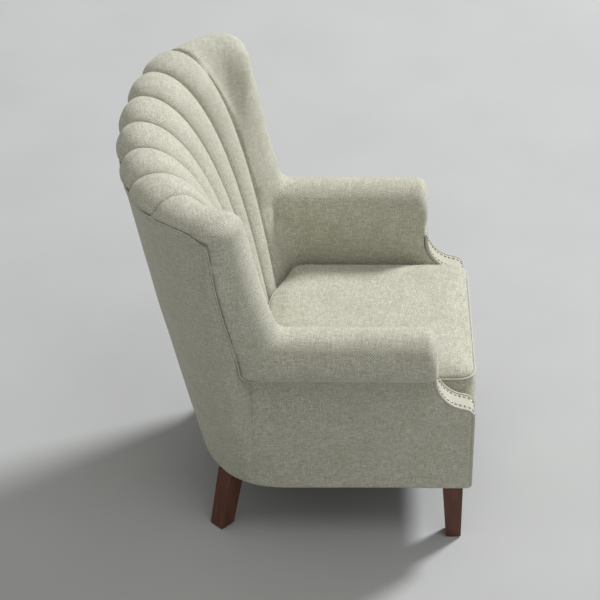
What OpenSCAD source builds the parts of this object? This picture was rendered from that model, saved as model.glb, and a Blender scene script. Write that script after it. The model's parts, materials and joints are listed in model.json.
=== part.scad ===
// Wingback chair with a channelled back, rolled arms and a loose seat cushion.
// The chair faces -Y, +Z is up, and the origin lies on the floor under its middle.
// Depths named ..._d are measured back from the flat front of the body.

/* [Overall] */
// Width over the flat outside arms
body_w = 656; // [600:1:720]
// Height of the underside of the body over the floor
base_z = 166; // [140:1:190]
// Depth from the front of the cushion to the back of the top roll
overall_d = 859; // [845:1:875]
// How far the cushion stands in front of the body
front_proud = 8; // [2:1:15]

/* [Base outline] */
// How far the flat sides end in front of the inside back at its middle
side_end_ahead = 72; // [57:1:92]
// Depth of the round rear at its middle, beyond the straight sides
rear_bulge = 219; // [205:1:230]
// Fullness of the round rear, 2 is an ellipse
rear_fullness = 2.4; // [2.2:0.1:2.8]
// How far the seam of the outside back is behind the end of the flat sides
panel_seam_behind = 85; // [78:1:92]

/* [Inside back] */
// Height at which the seat line of the back is measured
seat_line_z = 465; // [455:1:475]
// Depth of the inside back at the seat line
back_d = 522; // [512:1:532]
// Width of one channel at the seat line
channel_w = 47.7; // [45:0.1:50]
// How far the outermost channel seam comes forward at the seat line
seat_bow = 46.8; // [40:0.1:52]
// Length of the curve handle at the seat line
low_handle = 190; // [170:1:210]
// Backward lean of the inside back at the seat, per unit of height
low_lean_share = 0.232;
// Sideways lean of each channel seam at the seat, per unit of height
side_lean_share = 0.166;
// Length of the curve handle at the top roll
top_handle = 144; // [125:1:160]
// How far the channels swell between their seams
lobe_rise = 13; // [8:1:16]
// How far they still swell on the outside of the top roll
lobe_rise_outside = 7; // [4:1:10]

/* [Top roll and wings] */
// Height of the top roll
rim_z = 1011; // [1000:1:1020]
// Side reach of the top line at the wing corner
wing_x = 408; // [395:1:415]
// How far the wing corner is behind the inside back at its middle
wing_corner_behind = 35; // [28:1:43]
// Outward half thickness of the top roll
roll_out = 49; // [44:1:52]
// Downward half height of the top roll
roll_down = 60; // [54:1:64]
// Half thickness of the roll down the front of the wing
wing_roll = 43; // [38:1:46]
// How far the wing's front line meets the arm in front of the inside back at its middle
wing_foot_ahead = 60; // [52:1:67]
// Side reach of the wing's front line where it meets the arm
wing_foot_x = 376; // [370:1:384]

/* [Arms] */
// Distance of the middle of the arm roll from the middle of the chair
arm_x = 330; // [326:1:334]
// Height of the middle of the arm roll
arm_z = 569; // [560:1:578]
// Radius of the arm roll
arm_r = 65; // [60:1:68]
// Depth of the front end of the arm roll
arm_front_d = 93; // [88:1:98]
// How far in front of the wing's foot the arm roll ends on the inside
arm_joint_ahead = 17; // [12:1:24]
// How far behind the wing's foot the arm roll ends on the outside
arm_joint_behind = 90; // [83:1:98]
// Rounding of the front end of the arm roll
arm_end_r = 26; // [18:1:30]

/* [Arm front] */
// Height at which the scooped front starts under the arm
scoop_top_z = 497; // [492:1:500]
// Drop of the scoop
scoop_drop = 93; // [88:1:97]
// Radius of the nose where the scoop turns down
nose_r = 24; // [20:1:28]
// Thickness of the strip
strip_t = 4; // [3:0.5:5]
// Radius of the welt along the strip
welt_r = 3; // [2:0.5:4]
// Radius of a nail head
nail_r = 3.3; // [2.5:0.1:4]
// Height of a nail head
nail_h = 2.2; // [1.5:0.1:3]
// Distance between nails
nail_step = 11.5; // [10:0.5:18]
// Distance of a nail row from the edge of the strip
nail_inset = 13; // [10:0.5:16]

/* [Seat] */
// Height of the underside of the cushion
cushion_z = 300; // [290:1:305]
// Height of the seam round the top of the cushion
cushion_edge_z = 432; // [425:1:440]
// Rise of the cushion's top over that seam
crown = 24; // [15:1:30]
// Clearance between the cushion and what is round it
cushion_gap = 1.2; // [0.8:0.1:3]
// Corner radius of the cushion
cushion_corner = 42; // [30:1:50]

/* [Frame and covers] */
// Thickness of the timber rails
rail_t = 32; // [28:1:34]
// Height of the seat rails
rail_h = 80; // [70:1:85]
// Thickness of a fabric covered outer panel
panel_t = 5; // [4:0.5:6]
// Thickness of the padding on the inside back
pad_t = 42; // [34:1:44]
// Thickness of the padding over the rolls
roll_pad_t = 26; // [22:1:28]
// Thickness of the bent plywood
ply_t = 6; // [5:0.5:8]
// Clearance between parts that touch
gap = 0.3; // [0.2:0.05:0.4]

/* [Legs] */
// Width of a front leg at its top
leg_top_w = 50; // [44:1:54]
// Width of a front leg at the floor
leg_foot_w = 37; // [32:1:42]
// Distance of a front leg from the outer side of the body
leg_inset = 12; // [8:1:16]
// Depth of the front face of a front leg
leg_front_d = 18; // [14:1:24]
// Width of a rear leg at its top
rear_leg_top_w = 46; // [42:1:50]
// Width of a rear leg at the floor
rear_leg_foot_w = 41; // [36:1:44]
// Distance of a rear foot from the middle of the chair
rear_foot_x = 264; // [255:1:272]
// How far a rear foot stands behind the end of the flat sides
rear_foot_behind = 160; // [150:1:168]
// How far a rear leg rakes outwards
rear_rake = 15; // [8:1:20]
// How far a rear leg rakes back
rear_rake_back = 26; // [20:1:30]

/* [Hidden] */

// Shared helpers
function unit(v) = v / norm(v);
function mix(a, b, t) = a + (b - a) * t;
function bezier3(a, b, c, d, t) =
    a * pow(1 - t, 3) + b * 3 * t * pow(1 - t, 2) + c * 3 * t * t * (1 - t) + d * pow(t, 3);
function bezier2(a, b, c, t) = a * pow(1 - t, 2) + b * 2 * t * (1 - t) + c * t * t;
function clamp01(t) = min(max(t, 0), 1);
function soft_step(t) = let (c = clamp01(t)) c * c * (3 - 2 * c);
function flat_list(rows) = [for (row = rows) for (p = row) p];

// The flat front of the body, and depths measured back from it
y_front = front_proud - overall_d / 2;
function depth_y(d) = y_front + d;
side_end_d = back_d - side_end_ahead;
panel_seam_d = side_end_d + panel_seam_behind;
wing_corner_d = back_d + wing_corner_behind;
wing_foot_d = back_d - wing_foot_ahead;
arm_joint_in_d = wing_foot_d - arm_joint_ahead;
arm_joint_out_d = wing_foot_d + arm_joint_behind;
rear_foot_d = side_end_d + rear_foot_behind;
half_w = body_w / 2;
over = 1;
soft_gap = 0.8;

// A closed solid between two grids of points with the same number of rows and columns
module between(top_rows, under_rows, turn_first = false) {
    nr = len(top_rows);
    nc = len(top_rows[0]);
    under = nr * nc;
    function at(i, j) = i * nc + j;
    function is_left(i, j) = top_rows[i][j][0] + top_rows[i][j + 1][0]
        + top_rows[i + 1][j][0] + top_rows[i + 1][j + 1][0] > 0;
    function cell(i, j, from, turned) = let (a = from + at(i, j), b = from + at(i, j + 1),
        c = from + at(i + 1, j + 1), d = from + at(i + 1, j),
        two = is_left(i, j) ? [[a, b, c], [a, c, d]] : [[a, b, d], [b, c, d]])
        turned ? [for (f = two) [f[2], f[1], f[0]]] : two;
    function wall(a, b) = [[a, b, under + b], [a, under + b, under + a]];
    function back_wall(a, b) = [[b, a, under + b], [under + b, a, under + a]];
    faces = concat(
        [for (i = [0:nr - 2]) for (j = [0:nc - 2]) each cell(i, j, 0, false)],
        [for (i = [0:nr - 2]) for (j = [0:nc - 2]) each cell(i, j, under, true)],
        [for (j = [0:nc - 2]) let (a = at(0, j), b = at(0, j + 1))
            each turn_first ? [[b, a, under + a], [b, under + a, under + b]] : back_wall(a, b)],
        [for (j = [0:nc - 2]) each wall(at(nr - 1, j), at(nr - 1, j + 1))],
        [for (i = [0:nr - 2]) each wall(at(i, 0), at(i + 1, 0))],
        [for (i = [0:nr - 2]) each back_wall(at(i, nc - 1), at(i + 1, nc - 1))]);
    polyhedron(concat(flat_list(top_rows), flat_list(under_rows)), [for (f = faces) [f[2], f[1], f[0]]]);
}

// A closed solid through rings of points, with a middle point on each end face
module through(rings) {
    nr = len(rings);
    nc = len(rings[0]);
    ends = nr * nc;
    function at(i, j) = i * nc + j % nc;
    function middle(ring) = [for (k = [0:2]) let (v = [for (p = ring) p[k]])
        v * [for (q = v) 1] / len(v)];
    faces = concat(
        [for (i = [0:nr - 2]) for (j = [0:nc - 1]) [at(i, j), at(i, j + 1), at(i + 1, j + 1)]],
        [for (i = [0:nr - 2]) for (j = [0:nc - 1]) [at(i, j), at(i + 1, j + 1), at(i + 1, j)]],
        [for (j = [0:nc - 1]) [at(0, j + 1), at(0, j), ends]],
        [for (j = [0:nc - 1]) [at(nr - 1, j), at(nr - 1, j + 1), ends + 1]]);
    polyhedron(concat(flat_list(rings), [middle(rings[0]), middle(rings[nr - 1])]), faces);
}

module both_sides() {
    children();
    mirror([1, 0, 0]) children();
}

// Outline of the body, inset by a given amount; f runs from the middle of the rear to the side
function outline_pt(f, inset) = let (q = 2 / rear_fullness)
    [(half_w - inset) * pow(sin(90 * f), q),
     depth_y(side_end_d) + (rear_bulge - inset) * pow(cos(90 * f), q)];
outline_steps = 14;
function rear_outline(inset) =
    [for (i = [-outline_steps:outline_steps]) let (p = outline_pt(abs(i) / outline_steps, inset))
        [sign(i) * p[0], p[1]]];

// Plan of the top line of the back, from the middle to the wing corner
rim_back_handle_share = 0.404;
rim_side_share = 0.846;
rim_side_behind = 223;
rim_corner_behind = 83;
rim_side_d = back_d + rim_side_behind;
rim_corner_d = back_d + rim_corner_behind;
rim_seam_share = 0.237;
rim_settle = 0.63;
seam_sink = 2;
rim_d0 = overall_d - front_proud - roll_out - lobe_rise_outside + seam_sink + rim_settle;
rim_handles = [[0, depth_y(rim_d0)], [wing_x * rim_back_handle_share, depth_y(rim_d0)],
    [wing_x * rim_side_share, depth_y(rim_side_d)], [wing_x, depth_y(rim_corner_d)]];
function rim_plan(t) = bezier3(rim_handles[0], rim_handles[1], rim_handles[2], rim_handles[3], t);
rim_probe_share = 0.01;
function rim_out(t) = let (a = rim_plan(t + rim_probe_share) - rim_plan(t - rim_probe_share))
    unit([-a[1], a[0], 0]);

// Surface of the inside back: s counts channels from the middle, w runs from the deck
// up the back, over the roll and down to the outer seam
deck_top = cushion_z - gap;
seams = 3;
w_seat = 0.14;
w_top = 0.8;
roll_turn = 115;
function lean(s) = [side_lean_share * s, low_lean_share, 1];
function seat_pt(s) = [channel_w * s, depth_y(back_d - seat_bow * pow(s / seams, 2)), seat_line_z];
function rim_pt(s) = let (p = rim_plan(s * rim_seam_share)) [p[0], p[1], rim_z];
function rise_pt(s, b) = let (a = seat_pt(s), d = rim_pt(s), o = rim_out(s * rim_seam_share))
    bezier3(a, a + lean(s) * low_handle, d - o * top_handle, d, b);
function roll_pt(s, turn) = let (o = rim_out(s * rim_seam_share))
    rim_pt(s) + o * roll_out * sin(turn) + [0, 0, roll_down * (cos(turn) - 1)];
function half_back_pt(s, w) =
    w < w_seat ? seat_pt(s) - lean(s) * (seat_line_z - deck_top) * (1 - w / w_seat)
    : w < w_top ? rise_pt(s, (w - w_seat) / (w_top - w_seat))
    : roll_pt(s, roll_turn * (w - w_top) / (1 - w_top));
function back_pt(s, w) = let (p = half_back_pt(abs(s), w)) [s < 0 ? -p[0] : p[0], p[1], p[2]];
probe = 0.004;
function back_normal(s, w) = unit(cross(
    back_pt(s + probe, w) - back_pt(s - probe, w),
    back_pt(s, min(w + probe, 1)) - back_pt(s, max(w - probe, 0))));
function back_in(s, w, depth) = let (p = back_pt(s, w) - back_normal(s, w) * depth)
    w == 0 ? p + lean(s) * (deck_top - p[2]) : p;

// Padding gets thinner over the roll
back_run = 900;
w_thin_from = 0.6;
w_thin_to = 0.73;
function pad_depth(w) = mix(pad_t, roll_pad_t, soft_step((w - w_thin_from) / (w_thin_to - w_thin_from)));
w_crest = 0.66;
w_gap = gap / back_run;
w_rows = [0, 0.07, 0.14, 0.25, 0.36, 0.47, 0.58, 0.66, 0.73, 0.8, 0.84, 0.88, 0.92, 0.96, 1];
former_rows = concat([for (w = w_rows) if (w < w_crest) w], [w_crest - w_gap]);
crest_rows = [for (w = w_rows) if (w >= w_crest) w];

// One channel: a round lobe between two seams
lobe_shares = [0, 0.05, 0.16, 0.32, 0.5, 0.68, 0.84, 0.95, 1];
lobe_low_share = 0.55;
function lobe_round(f) = sqrt(1 - pow(2 * f - 1, 2));
function lobe_at(w) = w < w_top
    ? lobe_rise * mix(lobe_low_share, 1, soft_step((w - w_seat) / (w_top - w_seat)))
    : mix(lobe_rise, lobe_rise_outside, soft_step((w - w_top) / (1 - w_top)));
module channel(first_seam) {
    seam_in = gap / 2 / channel_w;
    a = first_seam + seam_in;
    b = first_seam + 1 - seam_in;
    m = (a + b) / 2;
    face = [for (w = w_rows) [for (f = lobe_shares)
        back_in(mix(a, b, f), w, seam_sink - lobe_at(w) * lobe_round(f))]];
    rear = [for (w = w_rows) let (d = pad_depth(w), p = back_in(a, w, d), q = back_in(m, w, d),
        r = back_in(b, w, d)) [for (f = lobe_shares) f < 0.5 ? mix(p, q, 2 * f) : mix(q, r, 2 * f - 1)]];
    color("#d6d4c2") between(face, rear);
}

// Bent plywood behind the channels
crest_short = 0.02;
module back_former() {
    stations = [for (i = [-2 * seams:2 * seams]) i / 2 * (1 - crest_short)];
    color("#c9a877") between(
        [for (w = former_rows) [for (s = stations) back_in(s, w, pad_t + soft_gap)]],
        [for (w = former_rows) [for (s = stations) back_in(s, w, pad_t + soft_gap + ply_t)]]);
}

// Curved rail that the padding rolls over
crest_depth = 60;
module crest_rail() {
    stations = [for (i = [-2 * seams:2 * seams]) i / 2 * (1 - crest_short)];
    color("#b98f5e") through([for (s = stations) concat(
        [for (w = crest_rows) back_in(s, w, pad_depth(w) + soft_gap)],
        [back_in(s, w_crest, pad_t + soft_gap + crest_depth)])]);
}

// Uprights behind the plywood, between the lower back rail and the crest rail
upright_w = 40;
upright_t = 24;
module back_upright(s) {
    half = upright_w / channel_w / 4;
    near = pad_t + 2 * soft_gap + ply_t;
    rows = concat([for (w = former_rows) if (w > lower_rail_w && w < w_crest - 2 * w_gap) w],
        [w_crest - 3 * w_gap]);
    color("#b98f5e") through([for (w = concat([lower_rail_w], rows)) [
        back_in(s - half, w, near + upright_t), back_in(s + half, w, near + upright_t),
        back_in(s + half, w, near), back_in(s - half, w, near)]]);
}
module back_uprights() { both_sides() back_upright(1); }

// Wings: r runs along the edge of the wing from the outermost channel seam round the
// corner and down the front to the arm, u runs across the wing and round its edge
r_corner_from = 0.3;
r_corner_to = 0.5;
rim_corner_share = 0.95;
corner_drop = 52;
corner_back = 12;
wing_reach = 8;
edge_aside = 8;
edge_ahead = 26;
edge_fall = 120;
foot_aside = 22;
foot_behind = 26;
foot_rise = 66;
edge_handle = [edge_aside, -edge_ahead, -edge_fall];
foot_handle = [foot_aside, foot_behind, foot_rise];
foot_z = arm_z + arm_r;
corner_pt = [wing_x + wing_reach, depth_y(wing_corner_d), rim_z];
edge_top_pt = [wing_x + wing_reach, depth_y(wing_corner_d - corner_back), rim_z - corner_drop];
foot_pt = [wing_foot_x, depth_y(wing_foot_d), foot_z];
function rim_top(t) = let (p = rim_plan(t)) [p[0], p[1], rim_z];
function wing_line(r) =
    r < r_corner_from ? rim_top(mix(seams * rim_seam_share, rim_corner_share, r / r_corner_from))
    : r < r_corner_to ? bezier2(rim_top(rim_corner_share), corner_pt, edge_top_pt,
        (r - r_corner_from) / (r_corner_to - r_corner_from))
    : bezier3(edge_top_pt, edge_top_pt + edge_handle, foot_pt + foot_handle, foot_pt,
        (r - r_corner_to) / (1 - r_corner_to));
side_out = unit([1, 0.14, 0]);
function wing_out(r) = let (f = clamp01(r / r_corner_to))
    unit(mix(rim_out(mix(seams * rim_seam_share, 1, f)), side_out, soft_step(f)));
function wing_front(r) = let (t = wing_line(min(r + probe, 1)) - wing_line(max(r - probe, 0)))
    unit(cross(t, wing_out(r)));
wing_turn = 140;
function wing_rise(r) = mix(roll_down, wing_roll, soft_step(r / r_corner_to));
function wing_half(r) = mix(roll_out, wing_roll, soft_step(r / r_corner_to));
function wing_middle(r) = wing_line(r) - wing_front(r) * wing_rise(r);
function wing_arc(r, a, less) = wing_middle(r)
    + wing_out(r) * (wing_half(r) - less) * sin(a) + wing_front(r) * (wing_rise(r) - less) * cos(a);
b_wing_foot = 0.26;
function b_of(w) = (w - w_seat) / (w_top - w_seat);
function w_of(b) = mix(w_seat, w_top, b);
u_roll = 0.55;
function wing_w(r) = w_of(mix(b_of(w_crest), b_wing_foot, pow(r, r_power)));
function wing_inside(r, q) = let (g = back_pt(seams, wing_w(r)), f = wing_line(r),
    reach = norm(f - g) / 3, across = unit(f - g))
    bezier3(g, g + across * reach, f - wing_out(r) * reach, f, q);
r_blend = 0.2;
function wing_pt(r, u) = let (turn = mix(roll_turn, wing_turn, soft_step(r / r_corner_to)))
    u >= u_roll ? wing_arc(r, turn * (u - u_roll) / (1 - u_roll), 0)
    : let (q = u / u_roll, slip = back_pt(seams, mix(w_crest, w_top, q)) - wing_inside(0, q))
        wing_inside(r, q) + slip * pow(max(1 - r / r_blend, 0), 2);
function wing_normal(r, u) = unit(cross(
    wing_pt(r, min(u + probe, 1)) - wing_pt(r, max(u - probe, 0)),
    wing_pt(max(r - probe, 0), u) - wing_pt(min(r + probe, 1), u)));
u_steps = [0, 0.05, 0.15, 0.275, 0.42, 0.55, 0.64, 0.73, 0.82, 0.91, 1];
r_power = 0.8;
function r_at(w) = pow((b_of(w_crest) - b_of(w)) / (b_of(w_crest) - b_wing_foot), 1 / r_power);
r_steps = [0, r_at(w_rows[6]), 0.24, 0.3, 0.35, 0.4, r_at(w_rows[5]), 0.5, 0.56, 0.64, 0.73,
    r_at(w_rows[4]), 0.92, 1];
function wing_pad_depth(u) = mix(pad_t, roll_pad_t, soft_step(u / u_roll));

// A point on the straight chords of the outermost seam, so that wing and channel match
seam_out = seams + gap / 2 / channel_w;
function chord_in(w, rear) = let (
    i = max([for (k = [0:len(w_rows) - 2]) if (w_rows[k] <= w) k]),
    a = w_rows[i], b = w_rows[i + 1])
    mix(back_in(seam_out, a, rear ? pad_depth(a) : seam_sink),
        back_in(seam_out, b, rear ? pad_depth(b) : seam_sink), (w - a) / (b - a));
function w_across(u) = u < u_roll ? mix(w_crest, w_top, u / u_roll)
    : mix(w_top, 1, (u - u_roll) / (1 - u_roll));

// The foot of the wing pad follows the top of the arm roll
foot_clear = 4.4;
function over_arm(p) = let (x = p[0] - arm_x, reach = arm_r + foot_clear,
    least = x < 0 ? chord_in(wing_w(1), false)[2] - arm_z : reach / 3)
    [p[0], p[1], arm_z + sqrt(max(pow(reach, 2) - x * x, least * least))];
function wing_skin(r, u, rear) =
    u == 0 ? chord_in(wing_w(r), rear)
    : r == 0 ? chord_in(w_across(u), rear)
    : let (p = wing_pt(r, u) - wing_normal(r, u) * (rear ? wing_pad_depth(u) : seam_sink))
        r == 1 ? over_arm(p) : p;
module wing_pad_upper() {
    between([for (r = r_steps) [for (u = u_steps) wing_skin(r, u, true)]],
        [for (r = r_steps) [for (u = u_steps) wing_skin(r, u, false)]], turn_first = true);
}

// Lower part of the wing pad, from the outermost seam to the rear end of the inside arm
joint_in_pt = [arm_x - arm_r, depth_y(arm_joint_in_d)];
joint_out_pt = [arm_x + arm_r, depth_y(arm_joint_out_d)];
joint_slope = (joint_out_pt[1] - joint_in_pt[1]) / (joint_out_pt[0] - joint_in_pt[0]);
low_rows = concat([for (w = w_rows) if (w < wing_w(1)) w], [wing_w(1) - 3 * w_gap]);
low_shares = [0, 0.2, 0.5, 0.8, 1];
low_bulge = 10;
function low_wing_pt(w, q, rear) = let (g = chord_in(w, rear),
    f = [joint_in_pt[0], joint_in_pt[1] + gap + (rear ? pad_t : 0), g[2]])
    q == 0 ? g : mix(g, f, q) - [0, low_bulge * sin(180 * q), 0];
module wing_pad_lower() {
    between([for (w = low_rows) [for (q = low_shares) low_wing_pt(w, q, false)]],
        [for (w = low_rows) [for (q = low_shares) low_wing_pt(w, q, true)]]);
}
module wing_pad() {
    color("#d6d4c2") union() {
        wing_pad_upper();
        wing_pad_lower();
    }
}
module left_wing_pad() { wing_pad(); }
module right_wing_pad() { mirror([1, 0, 0]) wing_pad(); }

// Timber board inside the roll of the wing
board_turns = [0, 45, 90, 140];
board_foot_x = 326;
board_foot_behind = 67;
board_foot_d = wing_foot_d + board_foot_behind;
board_foot_w = 26;
module wing_board() {
    rest_z = arm_z + arm_rail_r + gap;
    rings = [for (r = r_steps) if (r > 0 && r < 0.9)
        [for (a = board_turns) wing_arc(r, a, roll_pad_t + soft_gap)]];
    foot = [for (a = board_turns) [board_foot_x, depth_y(board_foot_d), rest_z]
        + [sin(a), -cos(a), 0] * board_foot_w / 2];
    color("#b98f5e") through(concat(rings, [foot]));
}
module left_wing_board() { wing_board(); }
module right_wing_board() { mirror([1, 0, 0]) wing_board(); }

// Scooped outline of the arm front, from under the arm down to a given height, set back
// into the arm by a given amount
scoop_half = 85;
scoop_turn = 82;
scoop_steps = 8;
nose_steps = 5;
scoop_d = 96;
function scoop_pts(back, low_z) = let (
    top_y = depth_y(scoop_d), nose = [y_front + nose_r, scoop_top_z - scoop_drop - nose_r])
    concat(
        [for (i = [0:scoop_steps]) let (a = scoop_turn * i / scoop_steps)
            [top_y - scoop_half + (scoop_half + back) * cos(a),
                scoop_top_z - (scoop_drop + back) * sin(a)]],
        [for (i = [1:nose_steps]) let (a = 90 * i / nose_steps)
            nose + [-sin(a), cos(a)] * (nose_r - back)],
        [[y_front + back, low_z]]);

// Side rails, posts and arm rails stand between the inside arm and the outside arm
post_out = half_w - panel_t - gap;
post_in = post_out - rail_t;
rail_top = base_z + rail_h;
arm_in = arm_x - arm_r;
arm_rail_share = 1.45;
arm_rail_cut_share = 0.8;
arm_rail_r = roll_pad_t * arm_rail_share;
arm_rail_cut = arm_rail_r * arm_rail_cut_share;
arm_post_d = 130;
inside_t = post_in - gap - arm_in;
arm_seam_z = arm_z - arm_r - gap;

// Arm roll and inside arm as one pad round the arm rail
arm_turn_from = -96;
arm_turn_to = 202;
slab_drop = 6;
arm_arc_steps = 22;
slab_corner_drop = 45;
function arm_ring(y_at, less, slant) = [for (i = [0:arm_arc_steps])
    let (a = mix(arm_turn_from, arm_turn_to, i / arm_arc_steps), x = (arm_r - less) * cos(a))
        [arm_x + x, y_at + slant * (x + arm_r), arm_z + (arm_r - less) * sin(a)]];
arm_rows = [0.12, 0.4, 0.75, 1];
end_turns = [0, 25, 50, 70, 90];
module arm_roll() {
    y0 = depth_y(arm_front_d);
    through(concat(
        [for (a = end_turns) arm_ring(y0 + arm_end_r * (1 - cos(a)), arm_end_r * (1 - sin(a)), 0)],
        [for (v = arm_rows) arm_ring(mix(y0 + arm_end_r, joint_in_pt[1] - gap, v), 0, joint_slope * v)]));
}
module inside_arm() {
    front = scoop_pts(strip_t + gap, deck_top);
    rear = depth_y(arm_joint_in_d) - gap;
    translate([arm_in, 0, 0]) rotate([90, 0, 90]) linear_extrude(inside_t)
        polygon(concat([[rear, deck_top], [rear, arm_z - slab_drop],
            [front[0][0] + arm_end_r, arm_z - slab_drop],
            [front[0][0], arm_z - slab_corner_drop]], front));
}
module arm_pad() {
    y1 = depth_y(arm_front_d) + arm_end_r;
    color("#d6d4c2") union() {
        difference() {
            arm_roll();
            translate([post_in - gap, y1, 0]) cube([rail_t + 2 * gap, overall_d, arm_z]);
            translate([arm_x, y1, arm_z]) rotate([-90, 0, 0])
                cylinder(h = overall_d, r = arm_rail_r + gap, $fn = 48);
            translate([0, y1, 0]) cube([post_in, overall_d, arm_z - slab_corner_drop]);
        }
        inside_arm();
    }
}
module left_arm_pad() { arm_pad(); }
module right_arm_pad() { mirror([1, 0, 0]) arm_pad(); }

// Timber arm rail, and the posts that carry it
rail_rear = depth_y(board_foot_d) + board_foot_w / 2;
module arm_rail() {
    y0 = depth_y(arm_front_d) + arm_end_r + gap;
    color("#b98f5e") intersection() {
        translate([arm_x, y0, arm_z]) rotate([-90, 0, 0])
            cylinder(h = rail_rear - y0, r = arm_rail_r, $fn = 48);
        translate([0, y_front, arm_z - arm_rail_cut]) cube([body_w, overall_d, body_w]);
    }
}
module left_arm_rail() { arm_rail(); }
module right_arm_rail() { mirror([1, 0, 0]) arm_rail(); }
post_top = arm_z - arm_rail_cut - gap;
module arm_post() {
    front = scoop_pts(strip_t + gap, rail_top + gap);
    y1 = depth_y(arm_front_d) + arm_end_r + gap;
    rear = depth_y(arm_post_d);
    color("#b98f5e") translate([post_in, 0, 0]) rotate([90, 0, 90]) linear_extrude(rail_t)
        polygon(concat([[rear, rail_top + gap], [rear, post_top], [y1, post_top], [y1, arm_seam_z],
            [front[0][0], arm_seam_z]], front));
}
module left_arm_post() { arm_post(); }
module right_arm_post() { mirror([1, 0, 0]) arm_post(); }
back_post_behind = 45;
back_post_d = side_end_d + back_post_behind;
back_post_w = 40;
back_post_shift = 20;
module back_post() {
    function ring(z, shift) = [[post_in - shift, depth_y(back_post_d), z],
        [post_out - shift, depth_y(back_post_d), z],
        [post_out - shift, depth_y(back_post_d) + back_post_w, z],
        [post_in - shift, depth_y(back_post_d) + back_post_w, z]];
    color("#b98f5e") through([ring(post_top, 0), ring(rail_top + gap, back_post_shift)]);
}
module left_back_post() { back_post(); }
module right_back_post() { mirror([1, 0, 0]) back_post(); }

// Rail across the foot of the back, from post to post
lower_rail_w = 0.07;
lower_rail_behind = 2.72;
lower_end_behind = 5;
lower_end_d = back_post_d + lower_end_behind;
module lower_back_rail() {
    near = pad_t + lower_rail_behind + ply_t;
    function ring(s) = [back_in(s, lower_rail_w - w_gap, near),
        back_in(s, lower_rail_w - w_gap, near + rail_t), back_in(s, 0, near + rail_t), back_in(s, 0, near)];
    tip = ring(seams);
    function end(side) = [for (i = [0:3]) [side * (post_in - back_post_shift - gap),
        depth_y(lower_end_d) + (i == 1 || i == 2 ? rail_t : 0), tip[i][2]]];
    color("#b98f5e") through(concat([end(-1)],
        [for (i = [-2 * seams:2 * seams]) ring(i / 2)], [end(1)]));
}

// Seat rails: straight at the front and the sides, bent to the round rear
border_t = 6;
front_rail_d = border_t + gap;
module front_seat_rail() {
    color("#b98f5e") translate([gap - post_in, depth_y(front_rail_d), base_z])
        cube([2 * (post_in - gap), rail_t, rail_h]);
}
module side_rail() {
    y0 = depth_y(strip_t + gap);
    color("#b98f5e") translate([post_in, y0, base_z])
        cube([rail_t, depth_y(side_end_d) - gap - y0, rail_h]);
}
module left_seat_rail() { side_rail(); }
module right_seat_rail() { mirror([1, 0, 0]) side_rail(); }
rail_inset = panel_t + gap;
rear_leg_top = [rear_foot_x - rear_rake, depth_y(rear_foot_d) - rear_rake_back];
bolt_shift = 6;
rear_bolt = rear_leg_top - [1, 1] * bolt_shift;
module rear_seat_rail() {
    outer = rear_outline(rail_inset + soft_gap);
    inner = rear_outline(rail_inset + rail_t);
    n = len(inner);
    color("#b98f5e") difference() {
        translate([0, 0, base_z]) linear_extrude(rail_h)
            polygon(concat(outer, [for (i = [1:n]) inner[n - i]]));
        both_sides() translate([rear_bolt[0], rear_bolt[1], base_z - over])
            cylinder(h = bolt_up + over + gap, r = bolt_r + gap, $fn = 24);
    }
}

// Corner blocks: a triangle in each front corner, a strap inside each rear joint
block_reach = 90;
block_h = 60;
strap_t = 30;
strap_back = 70;
bolt_in_side = 11;
bolt_in_front = 16;
front_bolt = [post_in - gap - bolt_in_side,
    depth_y(front_rail_d) + rail_t + gap + bolt_in_front];
module corner_blocks() {
    x1 = post_in - gap;
    y1 = depth_y(front_rail_d) + rail_t + gap;
    color("#b98f5e") both_sides() {
        difference() {
            translate([0, 0, base_z]) linear_extrude(block_h)
                polygon([[x1, y1], [x1, y1 + block_reach], [x1 - block_reach, y1]]);
            translate([front_bolt[0], front_bolt[1], base_z - over])
                cylinder(h = bolt_up + over + gap, r = bolt_r + gap, $fn = 24);
        }
        translate([0, 0, base_z]) linear_extrude(block_h) intersection() {
            translate([x1 - strap_t, depth_y(side_end_d) - strap_back]) square([strap_t, 2 * strap_back]);
            polygon(concat(rear_outline(rail_inset + rail_t + gap),
                [[x1, y_front], [-x1, y_front]]));
        }
    }
}

// Legs stop under the rails, each held by a bolt and standing on a glide
bolt_r = 4;
bolt_up = 45;
bolt_down = 50;
glide_h = 3;
glide_r = 11;
leg_top_z = base_z - gap;
leg_low_z = glide_h + gap;
module front_leg() {
    x1 = half_w - leg_inset;
    y1 = depth_y(leg_front_d);
    function ring(w, z) = [[x1 - w, y1, z], [x1 - w, y1 + w, z], [x1, y1 + w, z], [x1, y1, z]];
    color("#3c2823") difference() {
        through([ring(leg_foot_w, leg_low_z), ring(leg_top_w, leg_top_z)]);
        translate([front_bolt[0], front_bolt[1], leg_top_z - bolt_down - gap])
            cylinder(h = bolt_down + over + gap, r = bolt_r + gap, $fn = 24);
    }
}
module left_front_leg() { front_leg(); }
module right_front_leg() { mirror([1, 0, 0]) front_leg(); }
module rear_leg() {
    function ring(x, y, w, z) = [for (a = [0:-90:-270])
        [x + w / sqrt(2) * cos(a), y + w / sqrt(2) * sin(a), z]];
    color("#3c2823") difference() {
        through([ring(rear_foot_x, depth_y(rear_foot_d), rear_leg_foot_w, leg_low_z),
            ring(rear_leg_top[0], rear_leg_top[1], rear_leg_top_w, leg_top_z)]);
        translate([rear_bolt[0], rear_bolt[1], leg_top_z - bolt_down - gap])
            cylinder(h = bolt_down + over + gap, r = bolt_r + gap, $fn = 24);
    }
}
module left_rear_leg() { rear_leg(); }
module right_rear_leg() { mirror([1, 0, 0]) rear_leg(); }
module leg_bolts() {
    color("#8d8d8d") both_sides() for (p = [front_bolt, rear_bolt])
        translate([p[0], p[1], leg_top_z - bolt_down])
            cylinder(h = bolt_down + bolt_up, r = bolt_r, $fn = 24);
}
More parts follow.
